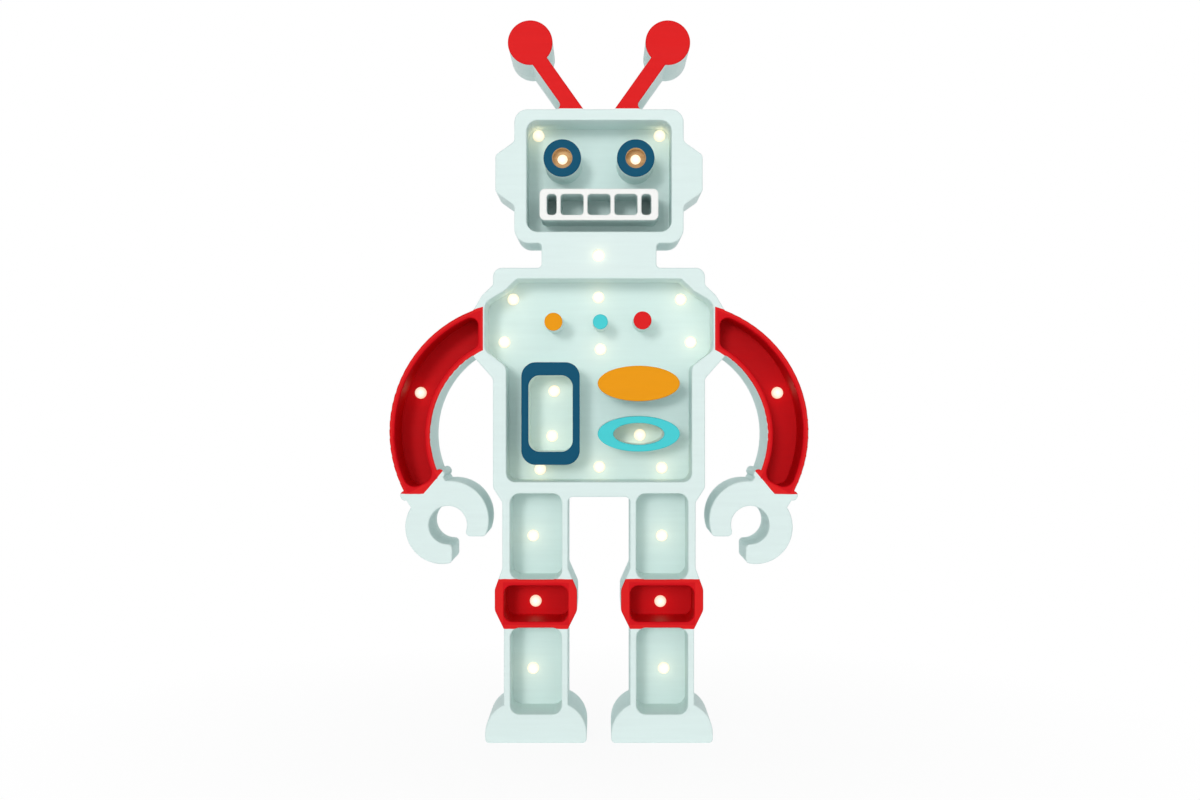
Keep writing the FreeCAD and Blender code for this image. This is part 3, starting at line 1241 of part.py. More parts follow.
# Every piece with the name of its file
def pieces():
    """Names and shapes of all pieces."""
    return {
        "front_frame": front_frame(),
        "back_board": back_board(),
        "eye_left": eye_ring(-EYE_SPACING / 2),
        "eye_right": eye_ring(EYE_SPACING / 2),
        "mouth_grille": mouth_grille(),
        "peg_yellow": peg(PEG_LEFT, LARGE_PEG_R),
        "peg_turquoise": peg(PEG_MIDDLE, SMALL_PEG_R),
        "peg_red": peg(PEG_RIGHT, LARGE_PEG_R),
        "window_frame": window_frame(),
        "oval_plate": oval_plate(),
        "oval_ring": oval_ring(),
        "lights_head": light_group(HEAD_LIGHTS, Y_FLOOR),
        "lights_eyes": light_group(EYE_LIGHTS, eye_lens_seat()),
        "light_neck": light_group(NECK_LIGHTS, neck_seat()),
        "lights_torso": light_group(TORSO_LIGHTS, Y_FLOOR),
        "lights_arms": light_group(ARM_LIGHTS, Y_FLOOR),
        "lights_legs": light_group(LEG_LIGHTS, Y_FLOOR),
        "light_tails": light_tails(),
        "cable_centre": centre_cable(),
        "cables_head": head_cables(),
        "cables_shoulders": shoulder_cables(),
        "cables_arms": arm_cables(),
        "cables_legs": leg_cables(),
        "cables_supply": supply_cables(),
        "driver_board": driver_board(),
        "board_resistors": board_resistors(),
        "board_terminals": board_terminals(),
        "board_spacers": board_spacers(),
        "board_screws": board_screws(),
        "back_cover": back_cover(),
        "cover_screws": cover_screws(),
        "inlet_body": inlet_body(),
        "inlet_pin": inlet_pin(),
        "inlet_nut": inlet_nut(),
        "inlet_contacts": inlet_contacts(),
        "switch_housing": switch_housing(),
        "switch_rocker": rocker(),
        "switch_plunger": switch_plunger(),
        "switch_spring": switch_spring(),
        "switch_contact_bar": contact_bar(),
        "switch_terminals": switch_terminals(),
    }


os.makedirs("parts", exist_ok=True)
for name, shape in pieces().items():
    solids = len(shape.Solids)
    print(f"{name:20s} solids {solids:3d}  valid {shape.isValid()}  volume {shape.Volume:12.2f}")
    shape.exportStep(f"parts/{name}.step")
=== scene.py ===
"""Robot shaped night lamp: finishes, lenses, studio and camera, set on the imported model."""

from __future__ import annotations

import logging
import math
from dataclasses import dataclass, field
from enum import Enum

import bmesh
import bpy
import numpy as np
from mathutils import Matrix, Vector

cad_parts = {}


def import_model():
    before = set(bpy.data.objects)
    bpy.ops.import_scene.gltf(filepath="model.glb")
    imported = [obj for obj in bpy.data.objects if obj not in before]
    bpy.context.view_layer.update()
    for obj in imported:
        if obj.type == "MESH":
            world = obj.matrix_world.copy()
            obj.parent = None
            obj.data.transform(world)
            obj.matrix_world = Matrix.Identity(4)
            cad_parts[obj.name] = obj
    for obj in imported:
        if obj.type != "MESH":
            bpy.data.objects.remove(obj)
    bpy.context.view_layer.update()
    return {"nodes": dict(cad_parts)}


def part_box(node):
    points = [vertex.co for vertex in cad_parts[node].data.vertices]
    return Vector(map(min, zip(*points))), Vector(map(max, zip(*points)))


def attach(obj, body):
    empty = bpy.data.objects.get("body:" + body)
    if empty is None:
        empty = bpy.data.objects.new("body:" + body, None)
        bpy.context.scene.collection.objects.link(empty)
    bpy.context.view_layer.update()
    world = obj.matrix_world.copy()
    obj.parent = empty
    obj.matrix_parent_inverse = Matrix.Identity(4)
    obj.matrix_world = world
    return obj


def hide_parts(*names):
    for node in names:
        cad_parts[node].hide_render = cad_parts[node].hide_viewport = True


LOG = logging.getLogger("robot_lamp")
MM = 0.001
Colour = tuple[float, float, float]
Triple = tuple[float, float, float]


def srgb(red: int, green: int, blue: int) -> Colour:
    """Linear colour of a display colour given in steps of 0 to 255."""
    parts = (channel / 255 for channel in (red, green, blue))
    return tuple(p / 12.92 if p <= 0.04045 else ((p + 0.055) / 1.055) ** 2.4 for p in parts)


class Paint(Enum):
    """Paint colours of the lamp, and one darker red that is painted shade."""

    MINT = srgb(224, 241, 239)
    RED = srgb(224, 26, 28)
    # painted shade: a darker red for the walls and floors of the red windows, standing in for the
    # shade there, not a second paint
    PAINTED_SHADE_RED = srgb(212, 6, 20)
    PETROL = srgb(4, 80, 110)
    YELLOW = srgb(238, 155, 8)
    TURQUOISE = srgb(74, 208, 214)
    WHITE = srgb(246, 247, 245)


class Value:
    """A number that changes over a surface, written with the usual operators."""

    def __init__(self, graph: "Graph", socket: bpy.types.NodeSocket) -> None:
        """Wraps the socket of a graph's node."""
        self.graph = graph
        self.socket = socket

    def __add__(self, other: "Value | float") -> "Value":
        """Sum."""
        return self.graph.math("ADD", self, other)

    __radd__ = __add__

    def __sub__(self, other: "Value | float") -> "Value":
        """Difference."""
        return self.graph.math("SUBTRACT", self, other)

    def __rsub__(self, other: float) -> "Value":
        """Difference from a number."""
        return self.graph.math("SUBTRACT", other, self)

    def __mul__(self, other: "Value | float") -> "Value":
        """Product."""
        return self.graph.math("MULTIPLY", self, other)

    __rmul__ = __mul__

    def __truediv__(self, other: "Value | float") -> "Value":
        """Quotient."""
        return self.graph.math("DIVIDE", self, other)

    def __abs__(self) -> "Value":
        """Size without the sign."""
        return self.graph.math("ABSOLUTE", self)

    def __pow__(self, other: float) -> "Value":
        """Power."""
        return self.graph.math("POWER", self, other)

    def above(self, level: "Value | float", soft: float = 0.1) -> "Value":
        """1 above a level and 0 below it, with a soft step of the given width."""
        return self.graph.math("MULTIPLY_ADD", self - level, 1 / soft, 0.5, clamp=True)

    def below(self, level: "Value | float", soft: float = 0.1) -> "Value":
        """1 below a level and 0 above it."""
        return self.graph.math("MULTIPLY_ADD", self - level, -1 / soft, 0.5, clamp=True)

    def either(self, other: "Value") -> "Value":
        """The larger of two masks."""
        return self.graph.math("MAXIMUM", self, other)


class Graph:
    """The node tree of one material, or of the world."""

    def __init__(self, name: str, tree: bpy.types.NodeTree | None = None) -> None:
        """Starts an empty material, or empties the given tree.

        Args:
            name: the material's name.
            tree: the world's tree, where the graph isn't a material's.
        """
        if tree is None:
            self.material = bpy.data.materials.new(name)
            self.material.use_nodes = True
            tree = self.material.node_tree
        self.tree = tree
        self.tree.nodes.clear()

    def node(
        self, kind: str, settings: dict | None = None, inputs: dict | None = None
    ) -> bpy.types.Node:
        """Adds a node.

        Args:
            kind: the node's type.
            settings: properties set first, such as an operation; "stops" gives a ramp's colours.
            inputs: values or links for its sockets, by name or number.

        Returns:
            The new node.
        """
        made = self.tree.nodes.new(kind)
        for key, value in (settings or {}).items():
            if key == "stops":
                ramp = made.color_ramp
                while len(ramp.elements) < len(value):
                    ramp.elements.new(0.5)
                for element, (place, colour) in zip(ramp.elements, value):
                    element.position = place
                    element.color = (*colour, 1.0)
            else:
                setattr(made, key, value)
        for key, value in (inputs or {}).items():
            socket = made.inputs[key]
            if isinstance(value, Value):
                value = value.socket
            if isinstance(value, bpy.types.NodeSocket):
                self.tree.links.new(value, socket)
            elif isinstance(value, tuple) and len(value) == 3 and socket.type == "RGBA":
                socket.default_value = (*value, 1.0)
            else:
                socket.default_value = value
        return made

    def math(self, operation: str, *values: "Value | float", clamp: bool = False) -> Value:
        """Adds a Math node and returns its result."""
        settings = {"operation": operation, "use_clamp": clamp}
        made = self.node("ShaderNodeMath", settings, dict(enumerate(values)))
        return Value(self, made.outputs[0])

    def place(self) -> tuple[Value, Value, Value, bpy.types.NodeSocket]:
        """Reads the place on the object.

        Returns:
            x, y and z in millimetres, and the vector itself in metres.
        """
        source = self.node("ShaderNodeTexCoord").outputs["Object"]
        axes = self.node("ShaderNodeSeparateXYZ", inputs={0: source}).outputs
        x, y, z = (Value(self, axes[i]) * 1000.0 for i in range(3))
        return x, y, z, source

    def facing(self) -> tuple[Value, Value, Value]:
        """Reads the surface's own direction.

        Returns:
            Its three parts, from -1 to 1.
        """
        source = self.node("ShaderNodeTexCoord").outputs["Normal"]
        axes = self.node("ShaderNodeSeparateXYZ", inputs={0: source}).outputs
        return tuple(Value(self, axes[i]) for i in range(3))

    def seen(self) -> Value:
        """Finds what looks at the surface.

        Returns:
            1 for the camera, glossy and clear surfaces, 0 for the light that is passed on.
        """
        path = self.node("ShaderNodeLightPath").outputs
        kinds = ("Is Camera Ray", "Is Glossy Ray", "Is Transmission Ray")
        camera, glossy, through = (Value(self, path[kind]) for kind in kinds)
        return camera.either(glossy).either(through)

    def noise(
        self,
        vector: bpy.types.NodeSocket,
        scale: float,
        stretch: Triple = (1, 1, 1),
        detail: float = 3.0,
    ) -> Value:
        """Adds noise.

        Args:
            vector: the place that it is read at.
            scale: how fine it is.
            stretch: factors of the axes; under 1 draws the noise out along that axis.
            detail: how many finer layers it has.

        Returns:
            A value about 0.5.
        """
        settings = {"vector_type": "POINT"}
        inputs = {"Vector": vector, "Scale": stretch}
        moved = self.node("ShaderNodeMapping", settings, inputs).outputs[0]
        inputs = {"Vector": moved, "Scale": scale, "Detail": detail}
        return Value(self, self.node("ShaderNodeTexNoise", {}, inputs).outputs[0])

    def ramp(self, factor: "Value", *stops: tuple[float, Colour]) -> bpy.types.NodeSocket:
        """Colour read from stops of a place and a colour each."""
        return self.node("ShaderNodeValToRGB", {"stops": stops}, {0: factor}).outputs[0]

    def mix(self, factor: "Value | float", first: object, second: object) -> bpy.types.NodeSocket:
        """Colour between two colours."""
        settings = {"data_type": "RGBA", "blend_type": "MIX"}
        return self.node("ShaderNodeMix", settings, {0: factor, 6: first, 7: second}).outputs[2]

    def shade(self, colour: object, factor: Value) -> bpy.types.NodeSocket:
        """Makes a colour lighter or darker.

        Args:
            colour: the colour or its socket.
            factor: a value near 1.

        Returns:
            The colour times the factor.
        """
        parts = {0: factor, 1: factor, 2: factor}
        grey = self.node("ShaderNodeCombineColor", {}, parts).outputs[0]
        settings = {"data_type": "RGBA", "blend_type": "MULTIPLY"}
        return self.node("ShaderNodeMix", settings, {0: 1.0, 6: colour, 7: grey}).outputs[2]

    def bump(self, height: Value, distance: float, strength: float = 1.0) -> bpy.types.NodeSocket:
        """Surface direction from a height field; distance is in metres."""
        inputs = {"Height": height, "Distance": distance, "Strength": strength}
        return self.node("ShaderNodeBump", {}, inputs).outputs[0]

    def finish(self, **sockets: object) -> bpy.types.Material:
        """Ends the tree in one surface shader.

        Args:
            sockets: values or links of the shader, with underscores for spaces.

        Returns:
            The finished material.
        """
        inputs = {key.replace("_", " "): value for key, value in sockets.items()}
        shader = self.node("ShaderNodeBsdfPrincipled", {}, inputs)
        self.node("ShaderNodeOutputMaterial", {}, {0: shader.outputs[0]})
        return self.material


@dataclass(frozen=True)
class Layers:
    """Depths of the timber layers and the places where the paint changes, in millimetres."""

    glue: float = 10.0
    edge_of_front: float = -27.3
    head_top: float = 421.3
    arm_start: float = 77.0
    arm_outer: tuple[float, float, float] = (53.0, 206.7, 86.3)
    arm_inner: tuple[float, float, float] = (48.6, 204.6, 63.4)
    rim: float = 1.8
    cuff_low: float = 165.4
    cuff_corner: tuple[float, float] = (104.7, 179.4)
    cuff_normal: tuple[float, float] = (0.765, 0.643)
    shoulder: float = 230.0
    arm_middle: tuple[float, float] = (50.8, 205.65)
    arm_end: tuple[float, float] = (0.451, 0.893)
    leg: float = 41.9
    leg_half: float = 34.0
    knee_front: tuple[float, float] = (75.9, 108.9)
    knee_walls: tuple[float, float] = (78.6, 106.7)
    knee_half: float = 21.9


LAYERS = Layers()


@dataclass(frozen=True)
class TimberFinish:
    """Hand painted pine: brush marks, faint grain under the paint and a glue line."""

    name: str
    grain: float = 0.07
    roughness: float = 0.58
    gloss: float = 0.1
    brush_depth: float = 0.00012
    seam_half: float = 0.22
    seam_colour: Colour = srgb(122, 132, 126)

    def arm(self, x: Value, z: Value) -> tuple[Value, Value]:
        """Masks of the red arm.

        A point belongs to the window where it lies between the middle of the outer rim and the
        middle of the inner rim, each measured from that rim's own centre.

        Args:
            x: place sideways.
            z: height.

        Returns:
            The mask of the arm's front, and that of its window's walls and floor.
        """
        side = abs(x)
        outer_x, outer_z, outer_r = LAYERS.arm_outer
        inner_x, inner_z, inner_r = LAYERS.arm_inner
        outer = ((side - outer_x) ** 2.0 + (z - outer_z) ** 2.0) ** 0.5
        inner = ((side - inner_x) ** 2.0 + (z - inner_z) ** 2.0) ** 0.5
        corner_x, corner_z = LAYERS.cuff_corner
        normal_x, normal_z = LAYERS.cuff_normal
        before_hand = (side - corner_x) * normal_x + (z - corner_z) * normal_z
        below_shoulder = z.below(LAYERS.shoulder)
        band = outer.below(outer_r + 0.3) * inner.above(inner_r - 0.3)
        front = side.above(LAYERS.arm_start) * before_hand.above(0.0) * z.above(LAYERS.cuff_low)
        front = front * band.either(below_shoulder)
        walls = outer.below(outer_r - LAYERS.rim) * inner.above(inner_r + LAYERS.rim)
        middle_x, middle_z = LAYERS.arm_middle
        end_x, end_z = LAYERS.arm_end
        before_end = ((side - middle_x) * end_x + (z - middle_z) * end_z).above(-1.2)
        return front, walls * side.above(LAYERS.arm_start + 1.6) * before_end

    def knee(self, x: Value, z: Value) -> tuple[Value, Value]:
        """Masks of the red knee.

        Args:
            x: place sideways.
            z: height.

        Returns:
            The mask of the knee's front, and that of its window's walls and floor.
        """
        off = abs(abs(x) - LAYERS.leg)
        low, high = LAYERS.knee_front
        front = off.below(LAYERS.leg_half) * z.above(low) * z.below(high)
        low, high = LAYERS.knee_walls
        walls = off.below(LAYERS.knee_half) * z.above(low) * z.below(high)
        return front, walls

    def build(self) -> bpy.types.Material:
        """Mixes the body's paint, mint with red fronts on antennas, arms and knees, and a darker
        red on the red windows' walls and floors as painted shade.

        Returns:
            The finished material.
        """
        g = Graph(self.name)
        x, y, z, place = g.place()
        wander = (g.noise(place, 70.0, detail=2.0) - 0.5) * 1.5
        arm_front, arm_walls = self.arm(x, z + wander)
        knee_front, knee_walls = self.knee(x, z + wander * 0.8)
        antenna = z.above(LAYERS.head_top)
        on_front = (y + wander * 0.35).below(LAYERS.edge_of_front)
        inside = y.below(LAYERS.glue + 0.5)
        fronts = arm_front.either(knee_front).either(antenna) * on_front
        walls = arm_walls.either(knee_walls) * inside
        red = fronts.either(walls)
        facing = g.facing()
        grain = g.noise(place, 330.0, (self.grain, 1.0, 1.0))
        strokes = g.noise(place, 520.0, (0.05, 1.0, 1.0), 2.0)
        blotches = g.noise(place, 22.0)
        tone = 1.0 + (grain - 0.5) * 0.07 + (blotches - 0.5) * 0.03
        # painted shade: the walls and floors of the red windows take a darker red than the fronts
        colour = g.mix(red, Paint.MINT.value, g.mix(walls, Paint.RED.value, Paint.PAINTED_SHADE_RED.value))
        colour = g.shade(colour, tone)
        seam = abs(y - LAYERS.glue).below(self.seam_half, 0.25) * abs(facing[1]).below(0.5)
        seam = seam * g.noise(place, 45.0, (1.0, 1.0, 1.0)).above(0.47, 0.16)
        colour = g.mix(seam * 0.42, colour, self.seam_colour)
        roughness = self.roughness + (strokes - 0.5) * 0.16
        height = strokes * 0.5 + grain * 0.8 - seam * 0.9
        return g.finish(
            Base_Color=colour,
            Roughness=roughness,
            Specular_IOR_Level=self.gloss,
            Normal=g.bump(height, self.brush_depth, 0.55),
        )


@dataclass(frozen=True)
class StandingFinish:
    """A piece that stands in a window: its front in one colour, its sides mint."""

    name: str
    front: Paint
    cup: Triple | None = None
    roughness: float = 0.56
    gloss: float = 0.1
    brush_depth: float = 0.0001
    bare_dark: Colour = srgb(160, 128, 86)
    bare_light: Colour = srgb(204, 176, 134)

    def build(self) -> bpy.types.Material:
        """Mixes the paint, with bare wood in a round cup whose centre and radius are given.

        Returns:
            The finished material.
        """
        g = Graph(self.name)
        x, y, z, place = g.place()
        wander = (g.noise(place, 90.0, detail=2.0) - 0.5) * 0.8
        on_front = (y + wander).below(LAYERS.edge_of_front + 0.15)
        grain = g.noise(place, 330.0, (0.07, 0.25, 1.0))
        strokes = g.noise(place, 500.0, (0.08, 1.0, 1.0), 2.0)
        colour = g.mix(on_front, Paint.MINT.value, self.front.value)
        colour = g.shade(colour, 1.0 + (grain - 0.5) * 0.06)
        if self.cup:
            cup_x, cup_z, cup_r = self.cup
            off = ((abs(x) - cup_x) ** 2.0 + (z - cup_z) ** 2.0) ** 0.5
            rings = g.noise(place, 260.0, (0.2, 1.0, 1.0))
            bare = g.ramp(rings, (0.25, self.bare_dark), (0.7, self.bare_light))
            colour = g.mix((off + wander * 0.3).below(cup_r), colour, bare)
        roughness = self.roughness + (strokes - 0.5) * 0.14
        height = strokes * 0.5 + grain * 0.7
        return g.finish(
            Base_Color=colour,
            Roughness=roughness,
            Specular_IOR_Level=self.gloss,
            Normal=g.bump(height, self.brush_depth, 0.5),
        )


@dataclass(frozen=True)
class LensFinish:
    """Lit diffused lens, white hot at its tip and amber round its foot."""

    name: str = "lit_lens"
    milk: Colour = srgb(206, 200, 186)
    tip: Colour = (1.0, 0.93, 0.78)
    foot: Colour = (1.0, 0.62, 0.25)
    strength: float = 0.75

    def build(self) -> bpy.types.Material:
        """Mixes a glow that follows the lens's own height attribute.

        Returns:
            The finished material.
        """
        g = Graph(self.name)
        source = g.node("ShaderNodeAttribute", {"attribute_name": "height"})
        height = Value(g, source.outputs["Fac"])
        place = g.node("ShaderNodeTexCoord").outputs["Object"]
        milk = g.noise(place, 900.0)
        glow = g.mix((height + (milk - 0.5) * 0.1).above(0.55, 0.75), self.foot, self.tip)
        return g.finish(
            Base_Color=g.shade(self.milk, 0.97 + milk * 0.06),
            Roughness=0.16 + milk * 0.08,
            Emission_Color=glow,
            Emission_Strength=self.strength,
            Coat_Weight=0.3,
        )


class Texture(Enum):
    """Surface of the bought and hidden pieces."""

    PLASTIC = "plastic"
    STEEL = "steel"
    BRASS = "brass"
    BOARD = "board"
    HARDBOARD = "hardboard"
    CABLE = "cable"


@dataclass(frozen=True)
class SmallFinish:
    """Finish of a bought piece."""

    name: str
    texture: Texture
    colour: Colour
    fibre_dark: Colour = srgb(96, 66, 42)
    fibre_light: Colour = srgb(142, 104, 70)
    lane_colour: Colour = srgb(40, 120, 60)
    lane_pitch: float = 1.2

    def plastic(self, g: Graph) -> bpy.types.Material:
        """Moulded plastic with a fine spark texture, which also changes its gloss.

        Args:
            g: the material's graph.

        Returns:
            The finished material.
        """
        spark = g.noise(g.place()[3], 1500.0)
        colour = g.shade(self.colour, 0.94 + spark * 0.12)
        normal = g.bump(spark, 0.00003, 0.5)
        return g.finish(Base_Color=colour, Roughness=0.42 + spark * 0.12, Normal=normal)

    def metal(self, g: Graph) -> bpy.types.Material:
        """Metal with fine lines from its making.

        Args:
            g: the material's graph.

        Returns:
            The finished material.
        """
        lines = g.noise(g.place()[3], 1400.0, (1.0, 0.1, 0.1))
        colour = g.shade(self.colour, 0.88 + lines * 0.24)
        roughness = 0.24 + lines * 0.2
        normal = g.bump(lines, 0.00001, 0.4)
        return g.finish(Base_Color=colour, Metallic=1.0, Roughness=roughness, Normal=normal)

    def hardboard(self, g: Graph) -> bpy.types.Material:
        """Pressed fibre board, cloudy and with short fibres.

        Args:
            g: the material's graph.

        Returns:
            The finished material.
        """
        place = g.place()[3]
        fibres = g.noise(place, 620.0, (1.0, 1.0, 0.45), 6.0)
        cloud = g.noise(place, 30.0)
        mixed = fibres * 0.7 + cloud * 0.3
        colour = g.ramp(mixed, (0.3, self.fibre_dark), (0.7, self.fibre_light))
        normal = g.bump(fibres, 0.00006, 0.7)
        return g.finish(Base_Color=colour, Roughness=0.62 + fibres * 0.2, Normal=normal)

    def circuit(self, g: Graph) -> bpy.types.Material:
        """Board with slanted lanes that noise breaks off here and there.

        Args:
            g: the material's graph.

        Returns:
            The finished material.
        """
        x, _, z, place = g.place()
        lanes = g.math("PINGPONG", x + z * 0.5, self.lane_pitch).above(0.8, 0.1)
        lanes = lanes * g.noise(place, 90.0).above(0.5, 0.05)
        colour = g.mix(lanes * 0.5, self.colour, self.lane_colour)
        normal = g.bump(lanes, 0.00003, 0.5)
        return g.finish(Base_Color=colour, Roughness=0.3 + lanes * 0.1, Normal=normal)

    def cable(self, g: Graph) -> bpy.types.Material:
        """Soft insulation with faint lines along the cables' length.

        Args:
            g: the material's graph.

        Returns:
            The finished material.
        """
        groove = g.noise(g.place()[3], 700.0, (1.0, 1.0, 0.1))
        colour = g.shade(self.colour, 0.95 + groove * 0.1)
        normal = g.bump(groove, 0.00002, 0.4)
        return g.finish(Base_Color=colour, Roughness=0.5 + groove * 0.1, Normal=normal)

    def build(self) -> bpy.types.Material:
        """Makes the finish that the texture asks for.

        Returns:
            The finished material.
        """
        makers = {
            Texture.PLASTIC: self.plastic,
            Texture.STEEL: self.metal,
            Texture.BRASS: self.metal,
            Texture.BOARD: self.circuit,
            Texture.HARDBOARD: self.hardboard,
            Texture.CABLE: self.cable,
        }
        return makers[self.texture](Graph(self.name))


def grid_faces(rows: int, columns: int, start: int = 0) -> np.ndarray:
    """Quads of a grid whose columns close into a ring.

    The vertex of row i and column j has the number i * columns + j.

    Args:
        rows: how many rows of vertices there are.
        columns: how many vertices each row has.
        start: the number of the first vertex.

    Returns:
        Four vertex numbers for each quad.
    """
    i, j = np.meshgrid(np.arange(rows - 1), np.arange(columns), indexing="ij")
    after = (j + 1) % columns
    low, high = i * columns, (i + 1) * columns
    quads = np.stack([low + j, low + after, high + after, high + j], axis=-1)
    return quads.reshape(-1, 4) + start


def add_mesh(
    name: str, points: np.ndarray, faces: np.ndarray, smooth: np.ndarray
) -> bpy.types.Object:
    """Puts points and faces into a new object, with doubles merged and faces turned outwards.

    Args:
        name: the piece's name.
        points: vertex places in metres.
        faces: quads as vertex numbers.
        smooth: one flag for each quad.

    Returns:
        The object, linked into the scene.
    """
    mesh = bpy.data.meshes.new(name)
    mesh.from_pydata(points.tolist(), [], faces.tolist())
    mesh.polygons.foreach_set("use_smooth", smooth)
    body = bmesh.new()
    body.from_mesh(mesh)
    bmesh.ops.remove_doubles(body, verts=body.verts, dist=2e-6)
    bmesh.ops.recalc_face_normals(body, faces=body.faces)
    body.to_mesh(mesh)
    body.free()
    made = bpy.data.objects.new(name, mesh)
    bpy.context.scene.collection.objects.link(made)
    return made


@dataclass
class Lenses:
    """The round lights of one zone, each a lens, flange and two leads."""

    node: str
    solid: bpy.types.Object
    finish: bpy.types.Material
    radius: float = 4.0 * MM
    length: float = 9.5 * MM
    flange_radius: float = 4.6 * MM
    flange: float = 1.5 * MM
    pitch: float = 2.54 * MM
    lead: float = 0.5 * MM
    sides: int = 28
    centres: np.ndarray = field(default_factory=lambda: np.zeros((0, 3)))

    def find(self) -> None:
        """Takes the lenses' places from the tips of the node's own domes.

        The tips are the vertices that lie farthest to the front.
        """
        mesh = self.solid.data
        points = np.empty(len(mesh.vertices) * 3)
        mesh.vertices.foreach_get("co", points)
        points = points.reshape(-1, 3)
        tips = points[points[:, 1] < points[:, 1].min() + 2e-6]
        self.centres = np.unique(np.round(tips, 5), axis=0)

    def profile(self) -> tuple[np.ndarray, np.ndarray, np.ndarray]:
        """Outline of a lens, which turns about its axis.

        The dome is a quarter circle: radius r sin(t), depth r (1 - cos(t)); the body, flange and
        rear face are straight lines, and both ends close on the axis.

        Returns:
            Radius and depth behind the tip of each point, and a smoothness flag for each line.
        """
        t = np.linspace(0.0, math.pi / 2, 11)
        r, f, n = self.radius, self.flange_radius, self.length
        radii = np.concatenate([r * np.sin(t), [r, f, f, 0.0]])
        depths = np.concatenate([r * (1 - np.cos(t)), [n, n, n + self.flange, n + self.flange]])
        smooth = np.concatenate([np.ones(11, bool), [False, True, False]])
        return radii, depths, smooth

    def leads(self, rear: float) -> tuple[np.ndarray, np.ndarray]:
        """Two square leads behind one lens whose tip is at the middle.

        Args:
            rear: where the leads end, behind the tip.

        Returns:
            Their vertices and quads.
        """
        corners = np.array([(-1, -1), (1, -1), (1, 1), (-1, 1)]) * self.lead / 2
        depths = np.array([self.length + self.flange, rear])
        sides = np.array([-1, 1]) * self.pitch / 2
        points = np.empty((2, 2, 4, 3))
        points[..., 0] = sides[:, None, None] + corners[:, 0]
        points[..., 1] = depths[:, None]
        points[..., 2] = corners[:, 1]
        one = np.concatenate([grid_faces(2, 4), [[0, 1, 2, 3], [7, 6, 5, 4]]])
        return points.reshape(-1, 3), np.concatenate([one, one + 8])

    def build(self) -> bpy.types.Object:
        """Builds all lenses of the zone as one piece.

        A lens is its outline turned about the axis: x and z are the outline's radius times the
        cosine and the sine of the turn, and y is its depth. It is repeated at every centre.

        Returns:
            The piece that stands for the node.
        """
        self.find()
        radii, depths, flags = self.profile()
        turn = np.linspace(0.0, 2 * math.pi, self.sides, endpoint=False)
        ring_x, ring_z = np.outer(radii, np.cos(turn)), np.outer(radii, np.sin(turn))
        ring_y = np.repeat(depths[:, None], self.sides, axis=1)
        lens = np.stack([ring_x, ring_y, ring_z], axis=-1).reshape(-1, 3)
        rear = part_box(self.node)[1][1] - self.centres[0, 1]
        lead_points, lead_quads = self.leads(rear)
        one = np.concatenate([lens, lead_points])
        quads = np.concatenate([grid_faces(len(radii), self.sides), lead_quads + len(lens)])
        smooth = np.concatenate([np.repeat(flags, self.sides), np.zeros(len(lead_quads), bool)])
        count = len(self.centres)
        points = (self.centres[:, None] + one).reshape(-1, 3)
        faces = (quads + np.arange(count)[:, None, None] * len(one)).reshape(-1, 4)
        made = add_mesh(self.node + "_lens", points, faces, np.tile(smooth, count))
        self.mark_height(made)
        made.data.materials.append(self.finish)
        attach(made, "lamp")
        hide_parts(self.node)
        return made

    def mark_height(self, made: bpy.types.Object) -> None:
        """Writes each vertex's height on its lens: 1 at the tip, 0 at the flange and behind it.

        Args:
            made: the lenses' piece.
        """
        mesh = made.data
        points = np.empty(len(mesh.vertices) * 3)
        mesh.vertices.foreach_get("co", points)
        depth = points.reshape(-1, 3)[:, 1] - self.centres[:, 1].min()
        height = np.clip(1.0 - depth / self.length, 0.0, 1.0)
        mesh.attributes.new("height", "FLOAT", "POINT").data.foreach_set("value", height)


@dataclass
class PlungerSpring:
    """Small coil spring behind the plunger of the switch."""

    finish: bpy.types.Material
    node: str = "switch_spring"
    wire: float = 0.11 * MM
    wire_margin: float = 1.2
    length_share: float = 0.86
    turns: int = 5
    steps: int = 24
    sides: int = 8
    tilt: float = math.radians(-8.0)

    def build(self) -> bpy.types.Object:
        """Builds the coil.

        The wire's middle is a helix about the plunger's axis: angle 2 pi n t and height along the
        axis t times the length, for t from 0 to 1; a small circle is carried square to it.

        Returns:
            The piece that stands for the node.
        """
        low, high = (np.array(corner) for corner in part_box(self.node))
        middle = (low + high) / 2
        axis = np.array([math.sin(-self.tilt), math.cos(self.tilt), 0.0])
        across = np.array([axis[1], -axis[0], 0.0])
        up = np.array([0.0, 0.0, 1.0])
        length = (high[1] - low[1]) * self.length_share
        radius = (high[2] - low[2]) / 2 - self.wire * self.wire_margin
        t = np.linspace(0.0, 1.0, self.turns * self.steps + 1)
        angle = 2 * math.pi * self.turns * t
        outward = np.outer(np.cos(angle), across) + np.outer(np.sin(angle), up)
        path = middle + outward * radius + np.outer((t - 0.5) * length, axis)
        ring = np.linspace(0.0, 2 * math.pi, self.sides, endpoint=False)
        circle = outward[:, None, :] * np.cos(ring)[:, None] + axis * np.sin(ring)[:, None]
        rows = path[:, None, :] + circle * self.wire
        first, last = (np.repeat(end[:, None], self.sides, 1) for end in (path[:1], path[-1:]))
        rows = np.concatenate([first, rows, last])
        faces = grid_faces(len(rows), self.sides)
        made = add_mesh("plunger_spring", rows.reshape(-1, 3), faces, np.ones(len(faces), bool))
        made.data.materials.append(self.finish)
        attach(made, "rocker")
        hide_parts(self.node)
        return made


